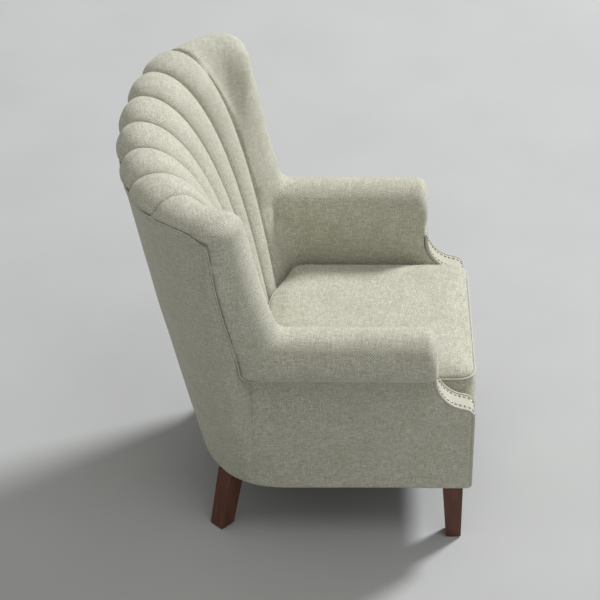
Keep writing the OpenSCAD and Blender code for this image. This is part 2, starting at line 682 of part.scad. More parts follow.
module floor_glides() {
    front_foot = [half_w - leg_inset - leg_foot_w / 2, depth_y(leg_front_d) + leg_foot_w / 2];
    color("#6b6b6b") both_sides() for (p = [front_foot, [rear_foot_x, depth_y(rear_foot_d)]])
        translate([p[0], p[1], 0]) cylinder(h = glide_h, r = glide_r, $fn = 32);
}

// Sinuous springs across the seat, held by clips on the rails
springs = 7;
spring_pitch = 62;
spring_w = 34;
spring_wire = 3.5;
spring_step = 26;
spring_z = rail_top + gap;
spring_front_d = 26;
spring_on_rear = 10;
clip_w = 16;
clip_l = 12;
clip_t = 1.5;
function inner_rear(x) = let (a = half_w - rail_inset - rail_t, b = rear_bulge - rail_inset - rail_t)
    depth_y(side_end_d) + b * pow(1 - pow(abs(x) / a, rear_fullness), 1 / rear_fullness);
module spring(x) {
    y0 = depth_y(spring_front_d);
    y1 = inner_rear(x) + spring_on_rear;
    n = 2 * floor((y1 - y0) / spring_step / 2);
    step = (y1 - y0) / n;
    translate([x, y0, spring_z]) linear_extrude(spring_wire) union() {
        for (i = [1:n - 1]) translate([-spring_w / 2, i * step - spring_wire / 2])
            square([spring_w, spring_wire]);
        for (i = [1:n - 2])
            translate([(i % 2 == 0 ? -spring_w : spring_w) / 2 - (i % 2 == 0 ? 0 : spring_wire),
            i * step - spring_wire / 2]) square([spring_wire, step + spring_wire]);
        for (y = [0, (n - 1) * step]) translate([-spring_wire / 2, y]) square([spring_wire, step]);
    }
}
module seat_springs() {
    color("#7d8084") for (i = [0:springs - 1]) spring((i - (springs - 1) / 2) * spring_pitch);
}
module spring_clips() {
    color("#8d8d8d") for (i = [0:springs - 1]) let (x = (i - (springs - 1) / 2) * spring_pitch)
        for (y = [depth_y(spring_front_d) - clip_t - gap, inner_rear(x) + spring_on_rear + gap])
            translate([x - clip_w / 2, y, spring_z]) cube([clip_w, clip_t, clip_l / 2]);
}

// Padded deck over the springs, and the thin dust cover under the frame
deck_rear_d = 560;
module deck_pad() {
    z0 = spring_z + clip_l / 2 + gap;
    x1 = post_in - gap;
    x2 = post_in - back_post_shift - gap;
    y0 = depth_y(front_rail_d);
    y1 = depth_y(back_post_d) - gap;
    y2 = depth_y(deck_rear_d);
    color("#c9c7b6") translate([0, 0, z0]) linear_extrude(deck_top - gap - z0)
        polygon([[-x1, y0], [x1, y0], [x1, y1], [x2, y1], [x2, y2], [-x2, y2], [-x2, y1], [-x1, y1]]);
}
dust_t = 1.5;
dust_inset = 8;
leg_clear = 3;
module dust_cover() {
    x1 = half_w - dust_inset;
    w = leg_top_w + 2 * leg_clear;
    v = rear_leg_top_w + 2 * leg_clear;
    color("#2b2b2b") translate([0, 0, base_z - gap - dust_t]) linear_extrude(dust_t) difference() {
        polygon(concat(rear_outline(dust_inset),
            [[x1, y_front + dust_inset], [-x1, y_front + dust_inset]]));
        both_sides() {
            translate([half_w - leg_inset + leg_clear - w, depth_y(leg_front_d) - leg_clear])
                square([w, w]);
            translate(rear_leg_top) rotate(45) square(v, center = true);
        }
    }
}

// Fabric on the front and the outside
module front_border() {
    color("#d6d4c2") translate([gap - arm_in, y_front, base_z])
        cube([2 * (arm_in - gap), border_t, deck_top - gap - base_z]);
}
seam_top_z = 515;
seam_top_x = 345;
seam_top_d = 539;
seam_mid_z = 599;
seam_mid_x = 365;
seam_mid_d = 568;
function outline_x(d) =
    half_w * pow(1 - pow((d - side_end_d) / rear_bulge, rear_fullness), 1 / rear_fullness);
seam_f = asin(pow(outline_x(panel_seam_d) / half_w, rear_fullness / 2)) / 90;
function seam_side(z) = let (t = (z - base_z) / (seam_top_z - base_z))
    [mix(outline_x(panel_seam_d), seam_top_x, t), mix(depth_y(panel_seam_d), depth_y(seam_top_d), t)];
function edge_dir_back(s) = unit(back_pt(s, 1) - back_pt(s, 1 - probe));
function edge_dir_wing(r) = unit(wing_pt(r, 1) - wing_pt(r, 1 - probe));
top_cols = [0, 0.75, 1.5, 2.25, 3];
low_wing_share = 0.9;
low_turn_share = 0.94;
wing_cols = [for (r = r_steps) if (r > 0 && r < 1) r];
function upper_edge(less) = concat(
    [for (s = top_cols) back_in(s, 1, less) + edge_dir_back(s) * 2 * gap],
    [for (r = wing_cols) wing_pt(r, 1) - wing_normal(r, 1) * less + edge_dir_wing(r) * 2 * gap],
    [[seam_mid_x + edge_sink - less, depth_y(seam_mid_d), seam_mid_z],
        [seam_top_x + edge_sink - less, depth_y(seam_top_d), seam_top_z]]);
back_f = 0.5;
function lower_edge(inset) = concat(
    [for (s = top_cols) outline_at(back_f * s / seams, inset)],
    [for (r = wing_cols) outline_at(mix(back_f, seam_f, r * low_wing_share), inset)],
    [outline_at(mix(back_f, seam_f, low_turn_share), inset), outline_at(seam_f, inset)]);
function outline_at(f, inset) = let (p = outline_pt(f, inset)) [p[0], p[1], base_z];
function mirror_row(row) = concat([for (i = [len(row) - 1:-1:1]) [-row[i][0], row[i][1], row[i][2]]], row);
edge_sink = 5;
back_bulge = 6;
function outwards(p) = let (q = p - [0, depth_y(side_end_d), 0]) unit([q[0], max(q[1], 0), 0])
    * soft_step(q[1] / rear_bulge * 2);
panel_rows = [0, 0.25, 0.5, 0.75, 1];
module outside_back() {
    function grid(less, inset) = let (a = mirror_row(upper_edge(less)), b = mirror_row(lower_edge(inset)))
        [for (v = panel_rows) [for (i = [0:len(a) - 1]) mix(b[i], a[i], v)
            + outwards(b[i]) * back_bulge * sin(180 * v)]];
    color("#cfcdbb") between(grid(edge_sink + panel_t, panel_t), grid(edge_sink, 0));
}
side_shares = [0, 0.5, 0.8, 1];
bend_shares = [0.3, 0.6, 0.8, 1];
bend_less_share = 0.6;
module outside_arm() {
    edge = concat([[scoop_pts(strip_t + gap, base_z)[0][0], arm_seam_z]], scoop_pts(strip_t + gap, base_z));
    function row(p, less) = let (z = p[1], e = seam_side(z), y1 = depth_y(side_end_d)) concat(
        [for (q = side_shares) [half_w - less, mix(p[0], y1, q), z]],
        [for (q = bend_shares) [mix(half_w, e[0], pow(q, rear_fullness)) - less,
            mix(y1, e[1] - gap - less * bend_less_share, q), z]]);
    color("#cfcdbb") between([for (p = edge) row(p, panel_t)], [for (p = edge) row(p, 0)]);
}
module left_outside_arm() { outside_arm(); }
module right_outside_arm() { mirror([1, 0, 0]) outside_arm(); }

// Front strips of the arms, with a welt along each edge and two rows of nails
strip_low = base_z;
module arm_front() {
    outer = scoop_pts(0, strip_low);
    inner = scoop_pts(strip_t, strip_low);
    n = len(inner);
    color("#d6d4c2") translate([arm_in + gap, 0, 0]) rotate([90, 0, 90])
        linear_extrude(half_w - arm_in - gap)
        polygon(concat(outer, [for (i = [1:n]) inner[n - i]]));
}
module left_arm_front() { arm_front(); }
module right_arm_front() { mirror([1, 0, 0]) arm_front(); }
welt_sides = 6;
module arm_welt(x) {
    path = scoop_pts(-welt_r - gap, strip_low);
    n = len(path);
    color("#c6c4b2") through([for (i = [0:n - 1])
        let (t = unit(path[min(i + 1, n - 1)] - path[max(i - 1, 0)]))
        [for (k = [0:welt_sides - 1]) let (a = 360 * k / welt_sides)
            [x + welt_r * cos(a), path[i][0] - t[1] * welt_r * sin(a),
                path[i][1] + t[0] * welt_r * sin(a)]]]);
}
module arm_welts() {
    arm_welt(arm_in + gap + welt_r);
    arm_welt(half_w - welt_r);
}
module left_arm_welts() { arm_welts(); }
module right_arm_welts() { mirror([1, 0, 0]) arm_welts(); }
function run_at(path, i) = i == 0 ? 0 : run_at(path, i - 1) + norm(path[i] - path[i - 1]);
function along(path, runs, q) =
    let (i = max([for (j = [0:len(path) - 2]) if (runs[j] <= q) j]))
    mix(path[i], path[i + 1], (q - runs[i]) / (runs[i + 1] - runs[i]));
nail_start = 14;
module nails() {
    path = scoop_pts(-gap, strip_low);
    runs = [for (i = [0:len(path) - 1]) run_at(path, i)];
    row = runs[len(path) - 1] - 2 * nail_start;
    count = floor(row / nail_step);
    color("#7d7464") for (k = [0:count]) {
        q = nail_start + k * row / count;
        p = along(path, runs, q);
        t = along(path, runs, q + nail_r) - along(path, runs, q - nail_r);
        for (x = [arm_in + gap + nail_inset, half_w - nail_inset])
            translate([x, p[0], p[1]]) rotate([atan2(t[0], -t[1]) + 90, 0, 0])
                cylinder(h = nail_h, r1 = nail_r, r2 = nail_r / 2, $fn = 6);
    }
}
module left_nails() { nails(); }
module right_nails() { mirror([1, 0, 0]) nails(); }

// Loose seat cushion: crowned, with drawn-in sides and a notch for each welt
cushion_x = arm_in - cushion_gap;
cushion_welt_r = 2.6;
cushion_front = -overall_d / 2;
cushion_corner_steps = 5;
front_cols = [0, 0.35, 0.7];
side_cols = [0.15, 0.4, 0.65, 0.88];
rear_cols = [1, 0.8, 0.5, 0.25];
mid_cols = [1, 0.66, 0.33, 0];
rear_soft = 6;
function rear_curve(z) = let (t = seat_line_z - z, c = lobe_rise * lobe_low_share + cushion_gap - seam_sink,
    p = [seams * (channel_w - side_lean_share * t), depth_y(back_d - seat_bow) - low_lean_share * t - c],
    m = depth_y(back_d) - low_lean_share * t - c)
    concat(
        [for (q = rear_cols) mix(p, [cushion_x, joint_in_pt[1] - rear_soft], q)
            - [0, (low_bulge - seam_sink) * sin(180 * q)]],
        [for (q = mid_cols) [p[0] * q, m - (m - p[1]) * q * q]]);
function cushion_half(z) = let (y0 = cushion_front, c = cushion_corner, rear = rear_curve(z))
    concat(
        [for (q = front_cols) [(cushion_x - c) * q, y0]],
        [for (i = [0:cushion_corner_steps]) let (a = 90 * i / cushion_corner_steps)
            [cushion_x - c + c * sin(a), y0 + c - c * cos(a)]],
        [for (q = side_cols) [cushion_x, mix(y0 + c, rear[0][1], q)]],
        rear);
function whole(half) = concat([for (i = [len(half) - 2:-1:1]) [-half[i][0], half[i][1]]], half);
cushion_mid_y = (cushion_front + joint_in_pt[1]) / 2;
function cushion_ring(z, plan_z, inset) = let (plan = whole(cushion_half(plan_z)),
    kx = 1 - inset / cushion_x, ky = 1 - inset / (cushion_mid_y - cushion_front))
    [for (p = plan) [p[0] * kx, cushion_mid_y + (p[1] - cushion_mid_y) * ky, z]];
notch = 7.6;
notch_h = 6.5;
top_shares = [0.92, 0.8, 0.6, 0.35, 0.15];
under_shares = [0.3, 0.8];
side_draw = 4;
side_levels = [0.15, 0.35, 0.65, 0.85];
low_welt_z = cushion_z + notch_h;
module seat_cushion() {
    up = [for (v = side_levels) mix(low_welt_z + notch_h, cushion_edge_z - notch_h, v)];
    color("#d6d4c2") through([for (ring = concat(
        [for (q = under_shares) cushion_ring(cushion_z, cushion_z, cushion_x * (1 - q))],
        [cushion_ring(cushion_z, cushion_z, 2),
         cushion_ring(low_welt_z, cushion_z, notch),
         cushion_ring(low_welt_z + notch_h, cushion_z, 1)],
        [for (i = [0:len(up) - 1]) cushion_ring(up[i], up[i], 1 + side_draw * sin(180 * side_levels[i]))],
        [cushion_ring(cushion_edge_z - notch_h, cushion_edge_z - notch_h, 1),
         cushion_ring(cushion_edge_z, cushion_edge_z, notch),
         cushion_ring(cushion_edge_z + notch_h, cushion_edge_z, 2)],
        [for (q = top_shares) cushion_ring(cushion_edge_z + notch_h + (crown - notch_h) * (1 - pow(q, 3)),
            cushion_edge_z, cushion_x * (1 - q))])) [for (i = [len(ring) - 1:-1:0]) ring[i]]]);
}
module cushion_welt(z, plan_z) {
    path = cushion_ring(z, plan_z, cushion_welt_r + gap);
    n = len(path);
    function ring(i) = let (t = unit(path[(i + 1) % n] - path[(i + n - 1) % n]), o = cross(t, [0, 0, 1]))
        [for (k = [0:welt_sides - 1]) let (a = 360 * k / welt_sides)
            path[i] + o * cushion_welt_r * cos(a) + [0, 0, cushion_welt_r * sin(a)]];
    rings = [for (i = [0:n - 1]) ring(i)];
    polyhedron(flat_list(rings), flat_list([for (i = [0:n - 1]) for (k = [0:welt_sides - 1]) let (
        a = i * welt_sides + k, b = i * welt_sides + (k + 1) % welt_sides,
        c = ((i + 1) % n) * welt_sides + k, d = ((i + 1) % n) * welt_sides + (k + 1) % welt_sides)
        [[a, b, d], [a, d, c]]]));
}
module cushion_welts() {
    color("#c6c4b2") {
        cushion_welt(low_welt_z, cushion_z);
        cushion_welt(cushion_edge_z, cushion_edge_z);
    }
}

module channel_1() { channel(-3); }
module channel_2() { channel(-2); }
module channel_3() { channel(-1); }
module channel_4() { channel(0); }
module channel_5() { channel(1); }
module channel_6() { channel(2); }

front_seat_rail();
rear_seat_rail();
left_seat_rail();
right_seat_rail();
corner_blocks();
left_front_leg();
right_front_leg();
left_rear_leg();
right_rear_leg();
leg_bolts();
floor_glides();
left_arm_post();
right_arm_post();
left_arm_rail();
right_arm_rail();
left_back_post();
right_back_post();
lower_back_rail();
crest_rail();
back_uprights();
left_wing_board();
right_wing_board();
back_former();
seat_springs();
spring_clips();
deck_pad();
dust_cover();
front_border();
outside_back();
left_outside_arm();
right_outside_arm();
channel_1();
channel_2();
channel_3();
channel_4();
channel_5();
channel_6();
left_wing_pad();
right_wing_pad();
left_arm_pad();
right_arm_pad();
left_arm_front();
right_arm_front();
left_arm_welts();
right_arm_welts();
left_nails();
right_nails();
seat_cushion();
cushion_welts();
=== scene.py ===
"""Looks of the wingback chair: fabric, padding, seams, nails, legs, light and camera.

Lengths in the shape functions are millimetres in the part's frame: +X is the sitter's left, and a
depth d counts from the front to the rear. Two pairs of values run over the cloth. On the inside back
s counts channel seams from the middle (3 is the outermost) and w goes from the seat (0) up and over
the top roll (1). On a wing r goes from that outermost seam round to the arm (1), and u from the
inside (0) over the wing's edge (1).
"""
import json
import math

import bmesh
import bpy
import numpy as np
from mathutils import Matrix, Vector
from mathutils.kdtree import KDTree


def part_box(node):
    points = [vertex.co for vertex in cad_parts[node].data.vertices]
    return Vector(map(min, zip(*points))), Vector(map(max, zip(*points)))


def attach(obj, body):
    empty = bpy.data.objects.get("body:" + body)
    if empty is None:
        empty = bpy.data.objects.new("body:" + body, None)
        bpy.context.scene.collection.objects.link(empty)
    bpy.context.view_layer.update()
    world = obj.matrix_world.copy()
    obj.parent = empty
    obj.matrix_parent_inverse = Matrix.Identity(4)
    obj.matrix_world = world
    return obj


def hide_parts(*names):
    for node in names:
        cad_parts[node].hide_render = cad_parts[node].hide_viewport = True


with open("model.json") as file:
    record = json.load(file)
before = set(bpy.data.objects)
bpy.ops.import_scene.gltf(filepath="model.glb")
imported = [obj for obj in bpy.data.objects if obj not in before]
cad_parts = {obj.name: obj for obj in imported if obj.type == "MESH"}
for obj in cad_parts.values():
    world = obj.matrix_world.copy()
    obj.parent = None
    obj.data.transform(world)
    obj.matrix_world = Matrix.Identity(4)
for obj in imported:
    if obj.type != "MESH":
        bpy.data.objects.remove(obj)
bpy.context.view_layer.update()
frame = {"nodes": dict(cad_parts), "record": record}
MM = 0.001

# Sizes of the chair
# Most are those of the part's source. The channels are wider and less bowed at the seat here.
OVERALL_D, FRONT_PROUD, BASE_Z, HALF_W = 859.0, 8.0, 166.0, 328.0
Y_FRONT = FRONT_PROUD - OVERALL_D / 2
# The outline at the base: the end of the straight side, the rear's bulge and fullness, the side seam.
SIDE_END_D, REAR_BULGE, REAR_FULL, PANEL_SEAM_D = 450.0, 219.0, 2.4, 535.0
# The inside back at the seat, its lean and the handles of its rising curve.
SEAT_LINE_Z, BACK_D, CHANNEL_W, SEAT_BOW = 465.0, 522.0, 60.0, 38.0
LOW_HANDLE, TOP_HANDLE, LOW_LEAN, SIDE_LEAN = 190.0, 144.0, 0.232, 0.166
# The top roll in the middle, and flatter and wider toward the wings.
ROLL_OUT, ROLL_DOWN, SIDE_ROLL_OUT, SIDE_ROLL_DOWN = 49.0, 60.0, 63.0, 48.0
# The rim, the line on which the roll starts, and the wings below it.
RIM_Z, RIM_SIDE_D, RIM_CORNER_D, RIM_SEAM_SHARE = 1011.0, 745.0, 605.0, 0.237
WING_X, WING_CORNER_D, WING_FOOT_D, WING_FOOT_X = 408.0, 557.0, 462.0, 376.0
ARM_X, ARM_Z, ARM_R, ARM_FRONT_D, ARM_END_R = 330.0, 569.0, 65.0, 93.0, 26.0
ARM_IN = ARM_X - ARM_R
JOINT_IN_D, JOINT_OUT_D = 445.0, 552.0
SCOOP_TOP_Z, SCOOP_DROP, SCOOP_D, SCOOP_HALF, SCOOP_TURN = 497.0, 93.0, 96.0, 85.0, 82.0
NOSE_R, STRIP_T = 24.0, 4.0
CUSHION_Z, CUSHION_EDGE_Z, CROWN, CUSHION_GAP, CUSHION_CORNER = 300.0, 432.0, 24.0, 1.2, 42.0
PAD_T, ROLL_PAD_T, PANEL_T, GAP = 42.0, 26.0, 5.0, 0.3
DECK_TOP = CUSHION_Z - GAP
# Seams on each side of the middle, the values of w at the seat, at the rim and where the wing's
# first row starts, and the angle through which the top roll turns.
SEAMS, W_SEAT, W_TOP, W_CREST, ROLL_TURN = 3, 0.14, 0.8, 0.66, 115.0
SEAM_SINK = 2.0
PROBE = 0.004  # the step that gives a surface's direction


def depth_y(d):
    return Y_FRONT + d


def mix(a, b, t):
    return a + (b - a) * t


def clamp01(t):
    return np.clip(t, 0.0, 1.0)


def soft_step(t):
    c = clamp01(t)
    return c * c * (3 - 2 * c)


def unit(v):
    return v / np.maximum(np.linalg.norm(v, axis=-1, keepdims=True), 1e-9)


def rounded(t):
    """From 0 to 1 along a quarter circle."""
    return np.sqrt(1 - (1 - clamp01(t)) ** 2)


def up(t):
    """Values ready to multiply points with."""
    return np.asarray(t, float)[..., None]


def spread(*values):
    """The values as arrays of one shape."""
    return np.broadcast_arrays(*(np.asarray(v, float) for v in values))


def run_along(path):
    """The length run at each point of a line."""
    return np.concatenate([[0], np.cumsum(np.linalg.norm(np.diff(path, axis=0), axis=1))])


def bezier3(a, b, c, d, t):
    t = up(t)
    return a * (1 - t) ** 3 + b * 3 * t * (1 - t) ** 2 + c * 3 * t * t * (1 - t) + d * t**3


def bezier2(a, b, c, t):
    t = up(t)
    return a * (1 - t) ** 2 + b * 2 * t * (1 - t) + c * t * t


def vec(x, y, z):
    return np.stack(spread(x, y, z), -1)


# Inside back and top roll
RIM_D0 = OVERALL_D - FRONT_PROUD - ROLL_OUT - 7 + SEAM_SINK + 0.63
RIM_HANDLES = [np.array((WING_X * share, depth_y(d), RIM_Z)) for share, d in (
    (0.0, RIM_D0), (0.404, RIM_D0), (0.846, RIM_SIDE_D), (1.0, RIM_CORNER_D))]


def rim_plan(t):
    return bezier3(*RIM_HANDLES, t)


def rim_out(t):
    """Level direction outwards from the rim."""
    a = rim_plan(np.asarray(t) + 0.01) - rim_plan(np.asarray(t) - 0.01)
    return unit(vec(-a[..., 1], a[..., 0], 0))


def lean(s):
    return vec(SIDE_LEAN * s, LOW_LEAN, 1.0)


def back_pt(s, w):
    """Point of the seam surface of the inside back."""
    s, w = spread(s, w)
    sign = np.where(s < 0, -1.0, 1.0)
    s = np.abs(s)
    seat = vec(CHANNEL_W * s, depth_y(BACK_D - SEAT_BOW * (s / SEAMS) ** 2), SEAT_LINE_Z)
    rim, out = rim_plan(s * RIM_SEAM_SHARE), rim_out(s * RIM_SEAM_SHARE)
    low = seat - lean(s) * up((SEAT_LINE_Z - DECK_TOP) * (1 - w / W_SEAT))
    b = clamp01((w - W_SEAT) / (W_TOP - W_SEAT))
    rise = bezier3(seat, seat + lean(s) * LOW_HANDLE, rim - out * TOP_HANDLE, rim, b)
    turn = np.radians(ROLL_TURN) * np.maximum(w - W_TOP, 0) / (1 - W_TOP)
    wide = soft_step((s - 0.8) / 1.9)
    reach, drop = mix(ROLL_OUT, SIDE_ROLL_OUT, wide), mix(ROLL_DOWN, SIDE_ROLL_DOWN, wide)
    roll = rim + out * up(reach * np.sin(turn)) + vec(0, 0, drop * (np.cos(turn) - 1))
    p = np.where(up(w) < W_SEAT, low, np.where(up(w) < W_TOP, rise, roll))
    p[..., 0] *= sign
    return p


def back_normal(s, w):
    return unit(np.cross(back_pt(s + PROBE, w) - back_pt(s - PROBE, w),
                         back_pt(s, np.minimum(w + PROBE, 1)) - back_pt(s, np.maximum(w - PROBE, 0))))


def back_in(s, w, depth):
    """Point at a depth behind the seam surface; the lowest row stays on the deck."""
    s, w, depth = spread(s, w, depth)
    p = back_pt(s, w) - back_normal(s, w) * up(depth)
    lift = np.where(w < 0.03, (DECK_TOP - p[..., 2]) * (1 - w / 0.03), 0)
    return p + lean(s) * up(lift)


def pad_depth(w):
    return mix(PAD_T, ROLL_PAD_T, soft_step((w - 0.6) / 0.13))


# Wings
# The edge line turns its corner between R_FROM and R_TO, and its roll starts at U_ROLL.
R_FROM, R_TO, RIM_CORNER_SHARE = 0.3, 0.5, 0.95
CORNER = np.array([WING_X + 8, depth_y(WING_CORNER_D), RIM_Z])
EDGE_TOP = np.array([WING_X + 8, depth_y(WING_CORNER_D - 12), RIM_Z - 52])
FOOT = np.array([WING_FOOT_X, depth_y(WING_FOOT_D), ARM_Z + ARM_R])
EDGE_HANDLE, FOOT_HANDLE = np.array([8.0, -26, -120]), np.array([22.0, 26, 66])
SIDE_OUT = unit(np.array([1, 0.14, 0.0]))
B_FOOT, U_ROLL, WING_TURN = 0.26, 0.55, 100.0
WING_DRAWN_IN, WING_ROLL_OUT, WING_ROLL_DEEP = 42.0, 86.0, 84.0


def wing_line(r):
    """Line on which the roll over the rim's end and the wing's edge starts."""
    r = np.asarray(r, float)
    top = rim_plan(mix(SEAMS * RIM_SEAM_SHARE, RIM_CORNER_SHARE, np.minimum(r, R_FROM) / R_FROM))
    bend = bezier2(rim_plan(RIM_CORNER_SHARE), CORNER, EDGE_TOP, clamp01((r - R_FROM) / (R_TO - R_FROM)))
    edge = bezier3(EDGE_TOP, EDGE_TOP + EDGE_HANDLE, FOOT + FOOT_HANDLE, FOOT,
                   np.maximum(r - R_TO, 0) / (1 - R_TO))
    line = np.where(up(r) < R_FROM, top, np.where(up(r) < R_TO, bend, edge))
    return line - vec(WING_DRAWN_IN * soft_step((r - R_FROM) / 0.3), 0, 0)


def wing_out(r):
    f = clamp01(np.asarray(r, float) / R_TO)
    return unit(mix(rim_out(mix(SEAMS * RIM_SEAM_SHARE, 1, f)), SIDE_OUT, up(soft_step(f))))


def wing_front(r):
    t = wing_line(np.minimum(r + PROBE, 1)) - wing_line(np.maximum(r - PROBE, 0))
    return unit(np.cross(t, wing_out(r)))


def wing_arc(r, a):
    """Section of the wing's edge: half an ellipse, deepest below the corner."""
    a = np.radians(a)
    wide = mix(SIDE_ROLL_OUT, WING_ROLL_OUT, soft_step((np.asarray(r, float) - R_FROM) / 0.3))
    deep = mix(SIDE_ROLL_DOWN, WING_ROLL_DEEP, soft_step((np.asarray(r, float) - 0.36) / 0.26))
    return (wing_line(r) - wing_front(r) * up(deep) + wing_out(r) * up(wide * np.sin(a))
            + wing_front(r) * up(deep * np.cos(a)))


def wing_w(r):
    """Height w on the outermost channel seam where a row of the wing starts."""
    crest = (W_CREST - W_SEAT) / (W_TOP - W_SEAT)
    return mix(W_SEAT, W_TOP, mix(crest, B_FOOT, np.asarray(r, float) ** 0.8))


def wing_inside(r, q):
    g, f = back_pt(SEAMS, wing_w(r)), wing_line(r)
    reach = up(np.linalg.norm(f - g, axis=-1) / 3)
    return bezier3(g, g + unit(f - g) * reach, f - wing_out(r) * reach, f, q)


def wing_pt(r, u):
    r, u = spread(r, u)
    turn = mix(ROLL_TURN, WING_TURN, soft_step(r / R_TO))
    arc = wing_arc(r, turn * np.maximum(u - U_ROLL, 0) / (1 - U_ROLL))
    q = np.minimum(u / U_ROLL, 1)
    slip = back_pt(SEAMS, mix(W_CREST, W_TOP, q)) - wing_inside(np.zeros_like(r), q)
    inner = wing_inside(r, q) + slip * up(np.maximum(1 - r / 0.2, 0) ** 2)
    return np.where(up(u) >= U_ROLL, arc, inner)


def wing_normal(r, u):
    du = wing_pt(r, np.minimum(u + PROBE, 1)) - wing_pt(r, np.maximum(u - PROBE, 0))
    dr = wing_pt(np.maximum(r - PROBE, 0), u) - wing_pt(np.minimum(r + PROBE, 1), u)
    return unit(np.cross(du, dr))


def wing_skin(r, u, depth):
    """Point at a depth behind the surface of the wing."""
    return wing_pt(r, u) - wing_normal(r, u) * up(depth)


# Outline at the base, and the scooped arm front
def outline_pt(f, inset):
    """Outline at a share from the middle of the rear (0) to the end of the straight side (1)."""
    q = 2 / REAR_FULL
    return ((HALF_W - inset) * np.sin(np.pi / 2 * f) ** q,
            depth_y(SIDE_END_D) + (REAR_BULGE - inset) * np.cos(np.pi / 2 * f) ** q)


def outline_x(d):
    return HALF_W * (1 - ((d - SIDE_END_D) / REAR_BULGE) ** REAR_FULL) ** (1 / REAR_FULL)


def scoop_path(back, low_z):
    """Points (y, z) down the scooped front of an arm, set back into it by a given amount."""
    top_y, steps = depth_y(SCOOP_D), 40
    a = np.radians(np.linspace(0, SCOOP_TURN, steps))
    one = np.stack([top_y - SCOOP_HALF + (SCOOP_HALF + back) * np.cos(a),
                    SCOOP_TOP_Z - (SCOOP_DROP + back) * np.sin(a)], -1)
    a = np.radians(np.linspace(0, 90, steps // 3)[1:])
    nose = np.array([Y_FRONT + NOSE_R, SCOOP_TOP_Z - SCOOP_DROP - NOSE_R])
    two = nose + np.stack([-np.sin(a), np.cos(a)], -1) * (NOSE_R - back)
    z = np.linspace(two[-1][1], low_z, steps)[1:]
    three = np.stack([np.full_like(z, Y_FRONT + back), z], -1)
    return np.concatenate([one, two, three])


def resample(path, step=None, count=None):
    """Evenly spaced points along an open line."""
    path = np.asarray(path, float)
    run = run_along(path)
    if count is None:
        count = max(2, int(round(run[-1] / step)) + 1)
    at = np.linspace(0, run[-1], count)
    return np.stack([np.interp(at, run, path[:, k]) for k in range(path.shape[1])], -1)


# Mesh helpers
def new_object(name, verts, faces, smooth=True):
    """A mesh object from points in millimetres."""
    mesh = bpy.data.meshes.new(name)
    mesh.from_pydata((np.asarray(verts, float) * MM).tolist(), [], faces)
    mesh.validate()
    mesh.update()
    mesh.polygons.foreach_set("use_smooth", [smooth] * len(mesh.polygons))
    obj = bpy.data.objects.new(name, mesh)
    bpy.context.scene.collection.objects.link(obj)
    return obj


def grid_faces(rows, cols, start=0, turned=False, ring=False):
    i, j = np.meshgrid(np.arange(rows - 1), np.arange(cols if ring else cols - 1), indexing="ij")
    k = (j + 1) % cols
    f = np.stack([i * cols + j, i * cols + k, (i + 1) * cols + k, (i + 1) * cols + j], -1).reshape(-1, 4)
    return (f[:, ::-1] if turned else f) + start


def solid_between(face, rear):
    """Verts and faces of the closed solid between two grids; face is the outer one."""
    rows, cols, _ = face.shape
    n = rows * cols
    verts = np.concatenate([face.reshape(-1, 3), rear.reshape(-1, 3)])
    faces = [grid_faces(rows, cols), grid_faces(rows, cols, n, True)]
    at = np.arange(n).reshape(rows, cols)
    edge = np.concatenate([at[0, :-1], at[:-1, -1], at[-1, :0:-1], at[:0:-1, 0]])
    after = np.roll(edge, -1)
    faces.append(np.stack([after, edge, edge + n, after + n], -1))
    return verts, np.concatenate(faces).tolist()


def solid_rings(rings):
    """Verts and faces of the closed solid through rings of points."""
    rows, cols, _ = rings.shape
    verts = np.concatenate([rings.reshape(-1, 3), [rings[0].mean(0), rings[-1].mean(0)]])
    faces = grid_faces(rows, cols, ring=True).tolist()
    n = rows * cols
    for j in range(cols):
        k = (j + 1) % cols
        faces.append([k, j, n])
        faces.append([n - cols + j, n - cols + k, n + 1])
    return verts, faces


def joined(parts):
    verts, faces, base = [], [], 0
    for v, f in parts:
        verts.append(v)
        faces += [[q + base for q in g] for g in f]
        base += len(v)
    return np.concatenate(verts), faces


def closed_object(name, verts, faces):
    """A mesh object whose faces look outwards."""
    obj = new_object(name, verts, faces)
    bm = bmesh.new()
    bm.from_mesh(obj.data)
    bmesh.ops.recalc_face_normals(bm, faces=bm.faces)
    bm.to_mesh(obj.data)
    bm.free()
    return obj


def remesh(obj, size):
    """A closed mesh of even squares of about the given size takes the place of the parts."""
    mod = obj.modifiers.new("remesh", "REMESH")
    mod.mode, mod.voxel_size, mod.use_smooth_shade = "VOXEL", size * MM, True
    dg = bpy.context.evaluated_depsgraph_get()
    mesh = bpy.data.meshes.new_from_object(obj.evaluated_get(dg))
    obj.modifiers.clear()
    old = obj.data
    obj.data = mesh
    bpy.data.meshes.remove(old)


def points(obj):
    co = np.empty(len(obj.data.vertices) * 3)
    obj.data.vertices.foreach_get("co", co)
    return co.reshape(-1, 3) / MM


def set_points(obj, co):
    obj.data.vertices.foreach_set("co", (np.asarray(co) * MM).astype(np.float32).ravel())
    obj.data.update()


def to_side(obj, side):
    """Mirrors a piece that was made for the sitter's left if it belongs on the right."""
    if side == "right":
        set_points(obj, points(obj) * [-1, 1, 1])
        obj.data.flip_normals()


def normals(obj):
    no = np.empty(len(obj.data.vertices) * 3)
    obj.data.vertices.foreach_get("normal", no)
    return no.reshape(-1, 3)


